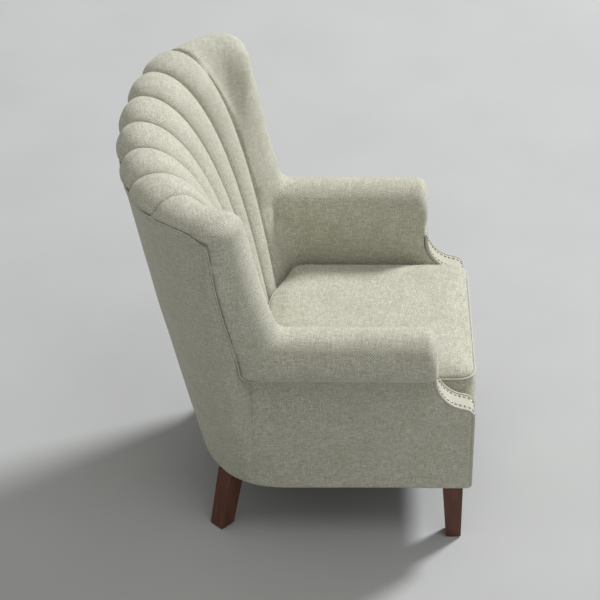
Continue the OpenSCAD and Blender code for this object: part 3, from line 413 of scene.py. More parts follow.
def relax(obj, weight, rounds, strength=0.5):
    """Each point moves towards the mean of its neighbours, by its own weight."""
    mesh = obj.data
    e = np.empty(len(mesh.edges) * 2, np.int64)
    mesh.edges.foreach_get("vertices", e)
    e = e.reshape(-1, 2)
    n = len(mesh.vertices)
    a, b = np.concatenate([e[:, 0], e[:, 1]]), np.concatenate([e[:, 1], e[:, 0]])
    count = np.maximum(np.bincount(a, minlength=n), 1)[:, None]
    co = points(obj)
    w = up(np.broadcast_to(weight, (n,))) * strength
    for _ in range(rounds):
        mean = np.stack([np.bincount(a, co[b, k], n) for k in range(3)], -1) / count
        co = co + (mean - co) * w
    set_points(obj, co)


def smooth_noise(p, scale, seed):
    """Soft noise from -1 to 1 at points in millimetres; scale is the size of a bump."""
    rng = np.random.default_rng(seed)
    total, size = np.zeros(len(p)), 0.0
    waves = 9
    for o in range(2):
        k = rng.normal(size=(waves, 3))
        k /= np.linalg.norm(k, axis=1, keepdims=True)
        k *= (2 * np.pi / scale * 2**o) * rng.uniform(0.6, 1.3, (waves, 1))
        phase = rng.uniform(0, 2 * np.pi, waves)
        total += np.sin(p @ k.T + phase).sum(1) / np.sqrt(waves) * 0.5**o
        size += 0.5**o
    return np.clip(total / size, -2, 2) * 0.7


# Materials
class Nodes:
    """Short hand for building a node tree."""

    def __init__(self, tree):
        self.tree = tree

    def new(self, kind, settings=None, **inputs):
        node = self.tree.nodes.new("ShaderNode" + kind)
        for key, value in (settings or {}).items():
            setattr(node, key, value)
        for key, value in inputs.items():
            self.feed(node, key.replace("_", " "), value)
        return node

    def feed(self, node, key, value):
        socket = node.inputs[int(key[1:])] if key[0] == "#" else node.inputs[key]
        if isinstance(value, bpy.types.NodeSocket):
            self.tree.links.new(value, socket)
        else:
            socket.default_value = value

    def math(self, how, a, b=0.0, c=0.0, clamp=False):
        node = self.tree.nodes.new("ShaderNodeMath")
        node.operation, node.use_clamp = how, clamp
        for i, value in enumerate((a, b, c)):
            self.feed(node, f"#{i}", value)
        return node.outputs[0]

    def times(self, a, b):
        return self.math("MULTIPLY", a, b)

    def plus(self, a, b):
        return self.math("ADD", a, b)

    def mix(self, factor, a, b):
        node = self.tree.nodes.new("ShaderNodeMix")
        node.data_type = "RGBA"
        self.feed(node, "#0", factor)
        self.feed(node, "#6", a)
        self.feed(node, "#7", b)
        return node.outputs[2]

    def ramp(self, factor, low, high, a=0.0, b=1.0):
        """A soft step from a to b while the factor goes from low to high."""
        node = self.tree.nodes.new("ShaderNodeMapRange")
        node.interpolation_type = "SMOOTHSTEP"
        for i, value in enumerate((factor, low, high, a, b)):
            self.feed(node, f"#{i}", value)
        return node.outputs[0]

    def noise(self, where, scale, detail=2.0, rough=0.5, warp=0.0):
        return self.new("TexNoise", Vector=where, Scale=scale, Detail=detail, Roughness=rough,
                        Distortion=warp).outputs[0]


def srgb(r, g, b):
    """Linear colour of an 8-bit screen colour."""
    return tuple(v / 12.92 if v <= 0.04045 else ((v + 0.055) / 1.055) ** 2.4
                 for v in (r / 255, g / 255, b / 255)) + (1.0,)


def new_material(name):
    mat = bpy.data.materials.new(name)
    mat.use_nodes = True
    tree = mat.node_tree
    tree.nodes.clear()
    n = Nodes(tree)
    out = n.new("OutputMaterial")
    shader = n.new("BsdfPrincipled")
    tree.links.new(shader.outputs[0], out.inputs[0])
    return mat, n, shader


def object_place(n):
    return n.new("TexCoord").outputs["Object"]


def scaled(n, where, x, y, z):
    return n.new("Mapping", Vector=where, Scale=(x, y, z)).outputs[0]


def weave(n, where, thread, slant):
    """Which yarn is on top, how high it is and how pale, in the plane each face looks out of."""
    xyz = n.new("SeparateXYZ", Vector=where).outputs
    normal = n.new("SeparateXYZ", Vector=n.new("NewGeometry").outputs["Normal"]).outputs
    weights = [n.math("POWER", n.math("ABSOLUTE", normal[k]), 6.0) for k in range(3)]
    total = n.plus(n.plus(weights[0], weights[1]), weights[2])
    over = heights = yarn = None
    for k, (i, j) in enumerate(((1, 2), (0, 2), (0, 1))):
        a, b = xyz[i], xyz[j]
        if slant:
            a, b = n.math("MULTIPLY_ADD", b, slant, a), n.math("MULTIPLY_ADD", a, -slant, b)
        a, b = n.math("DIVIDE", a, thread), n.math("DIVIDE", b, thread)
        wa = n.math("SINE", n.times(a, math.pi))
        wb = n.math("SINE", n.times(b, math.pi))
        cross = n.times(wa, wb)
        ridge = n.math("SQRT", n.math("ABSOLUTE", cross))
        top = n.ramp(cross, -0.25, 0.25)
        line_a = n.new("CombineXYZ", X=n.math("FLOOR", a), Y=n.times(b, 0.1), Z=float(k))
        line_b = n.new("CombineXYZ", X=n.math("FLOOR", b), Y=n.times(a, 0.1), Z=k + 9.0)
        tone_a = n.noise(line_a.outputs[0], 1.7)
        tone_b = n.noise(line_b.outputs[0], 1.7)
        tone = n.plus(n.times(tone_a, top), n.times(tone_b, n.math("SUBTRACT", 1.0, top)))
        share = n.math("DIVIDE", weights[k], total)
        parts = [n.times(v, share) for v in (top, ridge, tone)]
        if over is None:
            over, heights, yarn = parts
        else:
            over, heights, yarn = [n.plus(p, q) for p, q in zip((over, heights, yarn), parts)]
    return over, heights, yarn


def woven(name, thread, warp_a, warp_b, weft_a, weft_b, fleck, fleck_share=0.5, depth=0.35,
          sheen=0.3, slant=0.0, shade=0.6, streaks=0.3):
    """Cloth woven from uneven yarns.

    thread is the width of one yarn in metres, depth the height of the weave in millimetres, shade the
    darkness of the painted shade between the yarns and streaks the strength of the thin dark ones.
    """
    mat, n, shader = new_material(name)
    # painted shade between the yarns: a darkened fleck colour
    gap_shade = tuple(v * 0.5 for v in fleck[:3]) + (1.0,)
    where = object_place(n)
    wobble = n.new("TexNoise", Vector=where, Scale=70.0, Detail=1.0).outputs[1]
    where = n.new("VectorMath", {"operation": "MULTIPLY_ADD"}, **{"#0": wobble, "#1": (0.0022,) * 3,
                                                                "#2": where}).outputs[0]
    over, heights, yarn = weave(n, where, thread, slant)
    streak = n.ramp(yarn, 0.36, 0.64)
    warp = n.mix(streak, warp_a, warp_b)
    weft = n.mix(streak, weft_b, weft_a)
    colour = n.mix(over, weft, warp)
    # painted shade in the gaps between the yarns
    gaps = n.ramp(heights, 0.10, 0.55)
    colour = n.mix(n.times(n.math("SUBTRACT", 1.0, gaps), shade), colour, gap_shade)
    flecks = n.noise(where, 420.0, 2.5, 0.6)
    colour = n.mix(n.times(n.ramp(flecks, 0.52, 0.64), fleck_share), colour, fleck)
    for stretch in ((1.0, 1.0, 0.16), (1.0, 0.16, 1.0)):
        threads = n.noise(scaled(n, where, *stretch), 520.0, 2.0, 0.6)
        colour = n.mix(n.ramp(threads, 0.48, 0.66, 0.0, streaks), colour, fleck)
    slubs = n.noise(scaled(n, where, 1.0, 1.0, 0.35), 260.0, 1.5, 0.5)
    colour = n.mix(n.times(n.ramp(slubs, 0.56, 0.74), 0.07), colour, warp_a)
    cloud = n.noise(where, 16.0, 3.0, 0.55)
    colour = n.mix(n.ramp(cloud, 0.3, 0.72, 0.0, 0.18), colour, n.mix(0.5, fleck, weft_b))
    hue = n.noise(where, 34.0, 3.0, 0.6)
    colour = n.mix(n.ramp(hue, 0.42, 0.66, 0.0, 0.22), colour, n.mix(0.6, warp_b, fleck))
    # paler on convex edges where the cloth is rubbed; darker in hollows and creases as painted shade
    point = n.new("NewGeometry").outputs["Pointiness"]
    colour = n.mix(n.times(n.ramp(point, 0.52, 0.62), 0.07), colour, warp_a)
    colour = n.mix(n.times(n.ramp(point, 0.49, 0.42), 0.225), colour, weft_b)
    fuzz = n.noise(where, 1300.0, 2.0, 0.6)
    lumps = n.noise(where, 330.0, 2.0, 0.5)
    height = n.plus(n.times(heights, 0.55), n.times(fuzz, 0.22))
    height = n.plus(height, n.times(lumps, 0.55))
    bump = n.new("Bump", Height=height, Strength=0.9, Distance=depth * MM)
    n.feed(shader, "Base Color", colour)
    n.feed(shader, "Roughness", n.ramp(fuzz, 0.3, 0.7, 0.82, 0.96))
    n.feed(shader, "Normal", bump.outputs[0])
    n.feed(shader, "Specular IOR Level", 0.18)
    n.feed(shader, "Sheen Weight", sheen)
    n.feed(shader, "Sheen Roughness", 0.45)
    n.feed(shader, "Sheen Tint", (0.95, 0.95, 0.88, 1.0))
    return mat


def timber(name, light, dark, pores, grain=1.0, rough=0.42, coat=0.0, along="Z"):
    """Wood with growth rings, pores and paler edges."""
    mat, n, shader = new_material(name)
    where = object_place(n)
    stretch = {"X": (1, 9, 9), "Y": (9, 1, 9), "Z": (9, 9, 1)}[along]
    line = scaled(n, where, *stretch)
    bands = n.noise(line, 5.0 * grain, 5.0, 0.6, 0.8)
    colour = n.mix(n.ramp(bands, 0.32, 0.68), light, dark)
    rings = n.new("TexWave", {"wave_type": "BANDS", "bands_direction": "X"}, Vector=line, Scale=2.6 * grain,
                  Distortion=6.0, Detail=3.0, Detail_Scale=1.2).outputs[0]
    colour = n.mix(n.times(n.ramp(rings, 0.35, 0.95), 0.45), colour, dark)
    pore = n.noise(scaled(n, where, *[30.0 * v for v in stretch]), 4.0, 2.0, 0.7)
    pore = n.ramp(pore, 0.6, 0.72)
    colour = n.mix(n.times(pore, 0.7), colour, pores)
    point = n.new("NewGeometry").outputs["Pointiness"]
    colour = n.mix(n.times(n.ramp(point, 0.52, 0.60), 0.5), colour, light)
    smudge = n.noise(where, 28.0, 3.0, 0.6)
    n.feed(shader, "Base Color", colour)
    n.feed(shader, "Roughness", n.plus(n.ramp(smudge, 0.3, 0.7, rough - 0.07, rough + 0.1),
                                       n.times(pore, 0.2)))
    height = n.math("SUBTRACT", n.times(bands, 0.3), n.times(pore, 0.7))
    n.feed(shader, "Normal", n.new("Bump", Height=height, Strength=0.5, Distance=0.0003).outputs[0])
    n.feed(shader, "Coat Weight", coat)
    n.feed(shader, "Coat Roughness", 0.3)
    return mat


def metal(name, bright, dull, rough, scale=300.0, metallic=1.0):
    """Metal with a patina in its low places and rubbed high places."""
    mat, n, shader = new_material(name)
    where = object_place(n)
    blotch = n.noise(where, scale, 4.0, 0.6)
    point = n.new("NewGeometry").outputs["Pointiness"]
    worn = n.math("ADD", n.ramp(blotch, 0.35, 0.7), n.ramp(point, 0.5, 0.6), clamp=True)
    dirt = n.times(n.math("SUBTRACT", 1.0, worn), 0.6)
    n.feed(shader, "Base Color", n.mix(dirt, bright, dull))
    n.feed(shader, "Metallic", metallic)
    n.feed(shader, "Roughness", n.ramp(blotch, 0.3, 0.7, rough + 0.12, rough))
    n.feed(shader, "Normal", n.new("Bump", Height=n.noise(where, scale * 4, 3.0), Strength=0.25,
                                   Distance=0.0002).outputs[0])
    return mat


def make_materials():
    linen = woven("linen", 0.0029, srgb(236, 238, 227), srgb(208, 210, 195), srgb(207, 210, 196),
                  srgb(158, 157, 139), srgb(149, 138, 116), shade=0.85, streaks=0.42)
    trim = woven("welt_linen", 0.0015, srgb(228, 228, 217), srgb(214, 214, 202), srgb(198, 198, 184),
                 srgb(178, 178, 164), srgb(156, 150, 132), 0.35, 0.22, slant=0.9)
    strip = woven("strip_linen", 0.0014, srgb(220, 220, 208), srgb(205, 204, 191), srgb(192, 191, 176),
                  srgb(172, 171, 154), srgb(152, 147, 127), 0.3, 0.3)
    deck = woven("deck_cotton", 0.0011, srgb(214, 209, 190), srgb(200, 195, 176), srgb(190, 185, 166),
                 srgb(172, 167, 148), srgb(150, 142, 122), 0.2, 0.15, sheen=0.1)
    dust = woven("dust_cloth", 0.0008, srgb(52, 52, 54), srgb(40, 40, 42), srgb(32, 32, 34),
                 srgb(24, 24, 26), srgb(66, 66, 68), 0.25, 0.1, sheen=0.1)
    walnut = timber("walnut", srgb(104, 55, 32), srgb(40, 17, 9), srgb(18, 8, 5), 1.3, 0.45, 0.08)
    beech = timber("beech", srgb(206, 172, 130), srgb(184, 146, 102), srgb(140, 104, 70), 1.6, 0.6, 0.0, "X")
    ply = timber("plywood", srgb(214, 184, 142), srgb(196, 160, 116), srgb(150, 116, 80), 0.8, 0.65)
    nail = metal("antique_bronze", srgb(150, 146, 130), srgb(50, 47, 39), 0.22, 500.0)
    steel = metal("spring_steel", srgb(150, 153, 158), srgb(96, 98, 102), 0.32)
    glide = metal("glide_plastic", srgb(46, 46, 48), srgb(30, 30, 32), 0.5, 200.0, 0.0)
    return dict(linen_cover=linen, welt_cord=trim, strip=strip, deck_cloth=deck, dust_cloth=dust,
                walnut_leg=walnut, beech_frame=beech, plywood=ply, nail_heads=nail, spring_steel=steel,
                glide_plastic=glide)


MATERIALS = make_materials()


def finish_piece(obj, slot, nodes, body="chair", material=None):
    """Gives a piece its material, hides the parts it replaces and hangs it on the body it rides on."""
    obj.data.materials.clear()
    obj.data.materials.append(MATERIALS[material or slot])
    if nodes:
        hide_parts(*nodes)
    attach(obj, body)


# Cloth and seams
# Mesh squares of the remade covers, and how far pressure may move a point inwards.
COVER_SQUARE, CUSHION_SQUARE, INWARD_CAP = 5.0, 5.5, 2.0


class Line:
    """A seam or edge: dense points with the run along them."""

    def __init__(self, path, step=2.5):
        self.p = resample(path, step)
        self.run = run_along(self.p)

    def near(self, co, reach):
        """Distance and run of the nearest point of the line for points within reach."""
        tree = KDTree(len(self.p))
        for i, q in enumerate(self.p):
            tree.insert(q, i)
        tree.balance()
        low, high = self.p.min(0) - reach, self.p.max(0) + reach
        inside = np.all((co > low) & (co < high), axis=1)
        dist, run = np.full(len(co), 1e6), np.zeros(len(co))
        for i in np.nonzero(inside)[0]:
            _, k, d = tree.find(co[i])
            if d < reach:
                dist[i], run[i] = d, self.run[k]
        return dist, run


def sew(obj, line, groove, width, pucker, reach, spacing, seed):
    """Draws cloth in along a seam: a groove, and small folds that fade away from it."""
    co, no = points(obj), normals(obj)
    dist, run = line.near(co, max(reach * 2.4, width * 3))
    rng = np.random.default_rng(seed)
    t = np.linspace(0, line.run[-1] + 1, int(line.run[-1] / spacing) * 2 + 8)
    folds = np.interp(run, t, rng.uniform(-1, 1, len(t)))
    depth = groove * np.exp(-((dist / width) ** 2)) + pucker * folds * np.exp(-dist / reach) * (
        1 - np.exp(-((dist / width) ** 2)) * 0.5)
    set_points(obj, co - no * up(depth))


def add_cloth(obj, pinned, pressure, frames, quality, loose):
    """A cloth modifier that blows the mesh up from inside."""
    group = obj.vertex_groups.new(name="pinned")
    for weight in np.unique(np.round(pinned, 2)):
        if weight > 0:
            group.add(np.nonzero(np.round(pinned, 2) == weight)[0].tolist(), float(weight), "REPLACE")
    mod = obj.modifiers.new("cloth", "CLOTH")
    s = mod.settings
    s.quality, s.mass = quality, 0.25
    s.tension_stiffness = s.compression_stiffness = 12
    s.shear_stiffness, s.bending_stiffness = 6, 1.2
    s.tension_damping = s.compression_damping = s.shear_damping = 8
    s.air_damping = 3
    s.use_pressure, s.uniform_pressure_force = True, pressure
    s.shrink_min = -loose
    s.vertex_group_mass, s.pin_stiffness = "pinned", 1.0
    s.effector_weights.gravity = 0
    mod.collision_settings.use_collision = False
    mod.point_cache.frame_start, mod.point_cache.frame_end = 1, frames


def inflate(obj, pinned, pressure, cap, frames, quality=4, loose=0.0):
    """Cloth under pressure; each point moves only along its normal, within the cap."""
    rest, no = points(obj), normals(obj)
    add_cloth(obj, pinned, pressure, frames, quality, loose)
    scene = bpy.context.scene
    for f in range(1, frames + 1):
        scene.frame_set(f)
    dg = bpy.context.evaluated_depsgraph_get()
    moved = np.empty(len(rest) * 3)
    obj.evaluated_get(dg).data.vertices.foreach_get("co", moved)
    moved = moved.reshape(-1, 3) / MM
    obj.modifiers.clear()
    obj.vertex_groups.clear()
    scene.frame_set(1)
    go = np.sum((moved - rest) * no, axis=1)
    go = np.where(np.isfinite(go), go, 0)
    soft = np.where(go > 0, cap * np.tanh(go / cap), INWARD_CAP * np.tanh(go / INWARD_CAP))
    set_points(obj, rest + no * up(soft * (1 - pinned)))


def tube(path, radius, sides, closed=False):
    """Verts and faces of a cord along a path; radius may change along it."""
    path = np.asarray(path, float)
    n = len(path)
    after = np.roll(path, -1, 0) if closed else np.concatenate([path[1:], path[-1:]])
    before = np.roll(path, 1, 0) if closed else np.concatenate([path[:1], path[:-1]])
    t = unit(after - before)
    side = np.cross(t[0], [0.0, 0.0, 1.0])
    if np.linalg.norm(side) < 0.2:
        side = np.cross(t[0], [1.0, 0.0, 0.0])
    frames = []
    for k in range(n):
        side = side - t[k] * (side @ t[k])
        side = side / np.linalg.norm(side)
        frames.append(side)
    u = np.array(frames)
    v = np.cross(t, u)
    a = 2 * np.pi * np.arange(sides) / sides
    r = np.broadcast_to(np.asarray(radius, float), (n,))[:, None, None]
    rings = path[:, None] + r * (u[:, None] * up(np.cos(a)) + v[:, None] * up(np.sin(a)))
    if not closed:
        return solid_rings(rings)
    faces = grid_faces(n, sides, ring=True).tolist()
    last = (n - 1) * sides
    faces += [[last + j, last + (j + 1) % sides, (j + 1) % sides, j] for j in range(sides)]
    return rings.reshape(-1, 3), faces


# Rear seam and outside panel
# SEAM_TOP and FOOT_TURN are points given as x, depth and height.
EDGE_SINK, BACK_BULGE, SEAM_DEPTH, OVERHANG = 5.0, 6.0, 2.5, 0.6
SEAM_TOP, FOOT_TURN = (345.0, 539.0, 515.0), (392.0, 558.0, 586.0)
ARM_SEAM_END_D = 482.0
SEAM_F = math.asin((outline_x(PANEL_SEAM_D) / HALF_W) ** (REAR_FULL / 2)) / (math.pi / 2)
BACK_F = 0.5  # the outline share at the outermost channel seam
REAR_SEAM_FROM = 0.92  # the column share where the cloth behind the wing's foot starts
# Height of the rear seam by column, from the middle of the back (0) to the side seam (1): below 1
# it is a share of the outside panel, above 1 the excess is the share of the roll left to the panel.
SEAM_COLUMNS = (0.0, 0.37, 0.42, 0.47, 0.50, 0.53, 0.56, 0.60, 0.66, 0.70, 0.75, 0.83, 0.92, 0.97, 1.0)
SEAM_HEIGHTS = (1.28, 1.33, 1.355, 1.38, 1.36, 1.30, 1.20, 1.12, 1.10, 1.128, 1.152, 1.12, 1.085, 1.04, 0.99)
BACK_COLUMNS, WING_COLUMNS, ALL_COLUMNS = 25, 40, 66
CORNER_COLUMNS = slice(36, 50)  # where the seam rounds the wing's corner
WING_R = np.linspace(0.03, 0.97, WING_COLUMNS)


def seam_height(c):
    return np.interp(c, SEAM_COLUMNS, SEAM_HEIGHTS)


def back_end(s):
    """Where the channels' cloth ends on the roll, as the row share of the back."""
    c = np.abs(s) / SEAMS * (BACK_COLUMNS - 1) / ALL_COLUMNS
    return 1 - (1 - W_TOP) * (seam_height(c) - 1)


def wing_end(r):
    """Where the wing's cloth ends on its roll, as the share u."""
    c = (BACK_COLUMNS + np.interp(r, WING_R, np.arange(WING_COLUMNS))) / ALL_COLUMNS
    return 1 - (1 - U_ROLL) * np.maximum(seam_height(c) - 1, 0)


def panel_edges(less, inset, unroll):
    """Matching points of the outside back's upper and lower edge, and the column share of each."""
    s, r = np.linspace(0, SEAMS, BACK_COLUMNS), WING_R
    w, u = 1 - (1 - W_TOP) * unroll + 0 * s, 1 - (1 - U_ROLL) * unroll + 0 * r
    upper = np.concatenate([
        back_in(s, w, less) + unit(back_pt(s, w) - back_pt(s, w - PROBE)) * OVERHANG,
        wing_skin(r, u, less) + unit(wing_pt(r, u) - wing_pt(r, u - PROBE)) * OVERHANG,
        [[x + EDGE_SINK - less, depth_y(d), z] for x, d, z in (FOOT_TURN, SEAM_TOP)]])
    last_two = [mix(BACK_F, SEAM_F, 0.94), SEAM_F]
    f = np.concatenate([BACK_F * s / SEAMS, mix(BACK_F, SEAM_F, r * 0.9), last_two])
    x, y = outline_pt(f, inset)
    for _ in range(30):
        smooth = upper.copy()
        smooth[1:-1] = upper[1:-1] * 0.5 + (upper[2:] + upper[:-2]) * 0.25
        upper[CORNER_COLUMNS] = smooth[CORNER_COLUMNS]
    return upper, vec(x, y, BASE_Z), np.arange(len(f)) / ALL_COLUMNS


def panel_point(less, inset, c, v):
    """Point of the outside panel at a column share c and a height v, up to 1.5."""
    c, v = spread(c, v)
    levels = np.linspace(0, 0.5, 11)
    edges = [panel_edges(less, inset, k) for k in levels]
    column, lower = edges[0][2], edges[0][1]

    def pick(edge):
        return np.stack([np.interp(c, column, edge[:, k]) for k in range(3)], -1)

    a, b = pick(edges[0][0]), pick(lower)
    q = b - [0, depth_y(SIDE_END_D), 0]
    out = unit(vec(q[..., 0], np.maximum(q[..., 1], 0), 0)) * up(soft_step(q[..., 1] / REAR_BULGE * 2))
    low = mix(b, a, up(np.minimum(v, 1))) + out * up(BACK_BULGE * np.sin(np.pi * np.minimum(v, 1)))
    stack = np.stack([pick(e[0]) for e in edges])
    t = np.clip(v - 1, 0, 0.5) / 0.05
    i = np.minimum(t.astype(int), 9)

    def take(k):
        return np.take_along_axis(stack, np.broadcast_to(k[None, ..., None], (1,) + low.shape), 0)[0]

    high = mix(take(i), take(i + 1), up(t - i))
    return np.where(up(v) > 1, high, low)


# Channels
# Depth of the seam between two, and height of a channel at the seat, at the rim and at its end.
CHANNEL_SEAM, LOBE_LOW, LOBE_HIGH, LOBE_OUT = 12.0, 9.5, 14.5, 9.5


def lobe_at(w):
    return np.where(w < W_TOP, mix(LOBE_LOW, LOBE_HIGH, soft_step((w - W_SEAT) / (W_TOP - W_SEAT))),
                    mix(LOBE_HIGH, LOBE_OUT, soft_step((w - W_TOP) / (1 - W_TOP))))


def even_rows(s, step):
    """Values of w an even distance apart along the back."""
    w = np.linspace(0, 1, 1200)
    p = back_pt(np.full_like(w, s), w)
    run = run_along(p)
    return np.interp(np.linspace(0, run[-1], int(run[-1] / step)), run, w)


def seam_line(s, depth):
    w = even_rows(abs(s), 5.0)
    return back_in(np.full_like(w, s), w, depth)


def make_channel(number):
    """One channel: a lobe between two seams, blown up and sewn along both."""
    first = number - 4
    f = (1 - np.cos(np.pi * np.linspace(0, 1, 19))) / 2
    w = even_rows(max(abs(first + 0.5), 0.3), 6.0)
    ee, ff = np.meshgrid(w, f, indexing="ij")
    ss = first + mix(0.004, 0.996, ff)
    ww = ee * back_end(ss)
    round_f = clamp01(1 - np.abs(2 * ff - 1) ** 2.2) ** 0.52
    round_f = round_f * (0.25 + 0.75 * rounded((1 - ee) / 0.020))
    face = back_in(ss, ww, mix(CHANNEL_SEAM, -lobe_at(ww) + SEAM_SINK + 2.0, round_f))
    rear = back_in(ss, ww, pad_depth(ww))
    verts, faces = solid_between(face, rear)
    obj = closed_object(f"cover_channel_{number}", verts, faces)
    n = face.shape[0] * face.shape[1]
    pinned = np.ones(len(verts))
    pinned[:n] = (1 - clamp01(np.minimum(ff, 1 - ff) / 0.16) * clamp01((1 - ee) / 0.03)
                  * clamp01(ww / 0.02)).ravel()
    inflate(obj, pinned, pressure=2.5, cap=2.5, frames=12)
    for side in (first, first + 1):
        sew(obj, Line(seam_line(side, CHANNEL_SEAM - 2)), groove=0.6, width=4.0, pucker=0.5,
            reach=12.0, spacing=14.0, seed=number * 7 + side)
    finish_piece(obj, "linen_cover", [f"channel_{number}"])


# Wing and arm under one cover
# The pad below the wing bulges, and retreats toward the arm above LOW_RETREAT_Z. The roll's rear end
# is buried in the wing and trimmed round.
LOW_BULGE, LOW_RETREAT, LOW_RETREAT_Z = 10.0, 42.0, 440.0
ARM_BURIED, ROLL_TRIM = 60.0, 58.0
# How far the cloth is relaxed round the crease of wing and roll and round the inner corner.
CREASE_REACH, CORNER_REACH = 34.0, 62.0


def wing_solid():
    """Wing from the outermost channel seam round to its outer seam, and down into the arm."""
    r = np.concatenate([np.linspace(0, 0.5, 60), np.linspace(0.5, 1, 80)[1:]])
    u = np.concatenate([np.linspace(0, U_ROLL, 34), np.linspace(U_ROLL, 1, 30)[1:]])
    rr, uu = np.meshgrid(r, u, indexing="ij")
    uu = np.where(uu > U_ROLL, U_ROLL + (uu - U_ROLL) / (1 - U_ROLL) * (wing_end(rr) - U_ROLL), uu)
    face = wing_skin(rr, uu, mix(6.0, 0.0, rounded(uu / 0.05)))
    rear = wing_skin(rr, uu, mix(PAD_T, ROLL_PAD_T, soft_step(uu / U_ROLL)))
    grids = []
    for grid, depth in ((face, 6.0), (rear, PAD_T)):
        grid[:, 0] = back_in(np.full_like(r, SEAMS + 0.004), wing_w(r), depth)
        foot = np.stack([grid[-1] - [0, 0, d] for d in (8, 16, 30)])
        grids.append(np.concatenate([grid, foot]))
    return solid_between(*grids)


def low_wing_solid():
    """Lower part of the wing pad, between the outermost channel seam and the inside arm."""
    w = np.linspace(0, float(wing_w(1.0)), 46)
    q = np.linspace(0, 1, 26)
    ww, qq = np.meshgrid(w, q, indexing="ij")
    grids = []
    for depth, back in ((5.0, 0.0), (PAD_T, PAD_T)):
        g = back_in(np.full_like(ww, SEAMS + 0.004), ww, depth)
        above = np.maximum(g[..., 2] - ARM_Z, 0)
        roll_x = ARM_X - np.sqrt(np.maximum(ARM_R**2 - above**2, 400.0)) + 8
        retreat = LOW_RETREAT * soft_step((g[..., 2] - LOW_RETREAT_Z) / (g[-1, 0, 2] - LOW_RETREAT_Z))
        f = vec(roll_x, depth_y(JOINT_IN_D) + back + retreat, g[..., 2])
        bulge = LOW_BULGE * np.sin(np.pi * qq) * (1 - retreat / LOW_RETREAT)
        grids.append(mix(g, f, up(qq)) - vec(0, bulge, 0))
    return solid_between(*grids)


def arm_ring(y, less=0.0, rear=0.0, a=None):
    """Ring of the arm roll; rear (0..1) turns it into the slanted, rounded-off rear end."""
    a = np.linspace(0, 2 * np.pi, 72, endpoint=False) if a is None else a
    x = (ARM_R - less) * np.cos(a)
    slant = (JOINT_OUT_D + 6 - JOINT_IN_D - ARM_BURIED) / (2 * ARM_R)
    trim = ROLL_TRIM * np.clip(-2 * np.sin(a) - 0.8, 0, None) ** 2 / 1.44
    return vec(ARM_X + x, y + rear * (slant * (x + ARM_R) - trim),
               ARM_Z - 0.7 * less + (ARM_R - less) * np.sin(a))


def arm_solid():
    """Arm roll with its rounded front end."""
    y0 = depth_y(ARM_FRONT_D)
    y1 = depth_y(JOINT_IN_D) + ARM_BURIED
    rings = []
    for a in np.linspace(0, np.pi / 2, 12):
        rings.append(arm_ring(y0 + ARM_END_R * (1 - np.cos(a)), ARM_END_R * (1 - np.sin(a))))
    for v in np.linspace(0, 1, 60)[1:]:
        rings.append(arm_ring(mix(y0 + ARM_END_R, y1, v), 0.0, v))
    return solid_rings(np.array(rings))


def slab_solid(x0, x1, low, high):
    """Flat body of the inside arm under the roll."""
    path = scoop_path(STRIP_T + GAP, min(low, SCOOP_TOP_Z - 150))
    path = path[path[:, 1] >= low] if low < SCOOP_TOP_Z else path[:1] * [1, 0] + [0, low]
    rear = depth_y(JOINT_IN_D) + (6 if high < ARM_Z - 40 else ARM_BURIED * 0.8)
    poly = np.concatenate([[[rear, low], [rear, high], [path[0][0] + 2, high]], path])
    poly = resample(poly, 12.0)
    rings = np.stack([vec(np.full(len(poly), x), poly[:, 0], poly[:, 1]) for x in (x0, x1)])
    verts = rings.reshape(-1, 3)
    n = len(poly)
    faces = [[i, (i + 1) % n, n + (i + 1) % n, n + i] for i in range(n)]
    faces += [list(range(n))[::-1], list(range(n, 2 * n))]
    return verts, faces


def arm_seam_path():
    """Under-arm seam on the outside, from the front back to the wing."""
    y = np.linspace(depth_y(SCOOP_D) + 4, depth_y(ARM_SEAM_END_D), 60)
    return vec(HALF_W + 1.0, y, ARM_Z - ARM_R - 0.5)


def rear_strip_solid():
    """The cloth behind the foot of the wing, between its rear edge, the arm roll and the rear seam."""
    c, e = np.meshgrid(np.linspace(REAR_SEAM_FROM, 1.0, 40), np.linspace(0, 1, 30), indexing="ij")
    v = mix(1.06, np.minimum(seam_height(c), 1) - 0.03 - 0.05 * soft_step((c - 0.94) / 0.04), e)
    face = panel_point(EDGE_SINK, 0.0, c, v)
    return solid_between(face, panel_point(EDGE_SINK + 40.0, 20.0, c, v))


def outer_seam_path():
    """Seam behind the top roll, and its run down the wing and under the arm, on the sitter's left."""
    s = np.linspace(0, SEAMS, 40)
    one = back_in(s, back_end(s), SEAM_DEPTH)
    c = np.linspace((BACK_COLUMNS + 0.5) / ALL_COLUMNS, 0.95, 110)
    down = panel_point(SEAM_DEPTH, 0.0, c, seam_height(c))
    under = arm_seam_path()
    turn = arm_ring(depth_y(JOINT_IN_D) + ARM_BURIED, 0.0, 1.0, np.radians(np.linspace(5, -72, 30)))
    path = resample(np.concatenate([down, turn, under[::-1]]), 4.0)
    for _ in range(26):
        path[1:-1] = path[1:-1] * 0.5 + (path[2:] + path[:-2]) * 0.25
    return one, path


def crease_line():
    """Where the wing meets the arm roll, from the inside round to the outside."""
    found = []
    for u in np.linspace(0, 1, 60):
        p = wing_pt(np.linspace(0.6, 1, 200), u)
        d = np.hypot(p[:, 0] - ARM_X, p[:, 2] - ARM_Z) - ARM_R
        found.append(p[int(np.argmin(np.abs(d)))])
    return np.array(found)


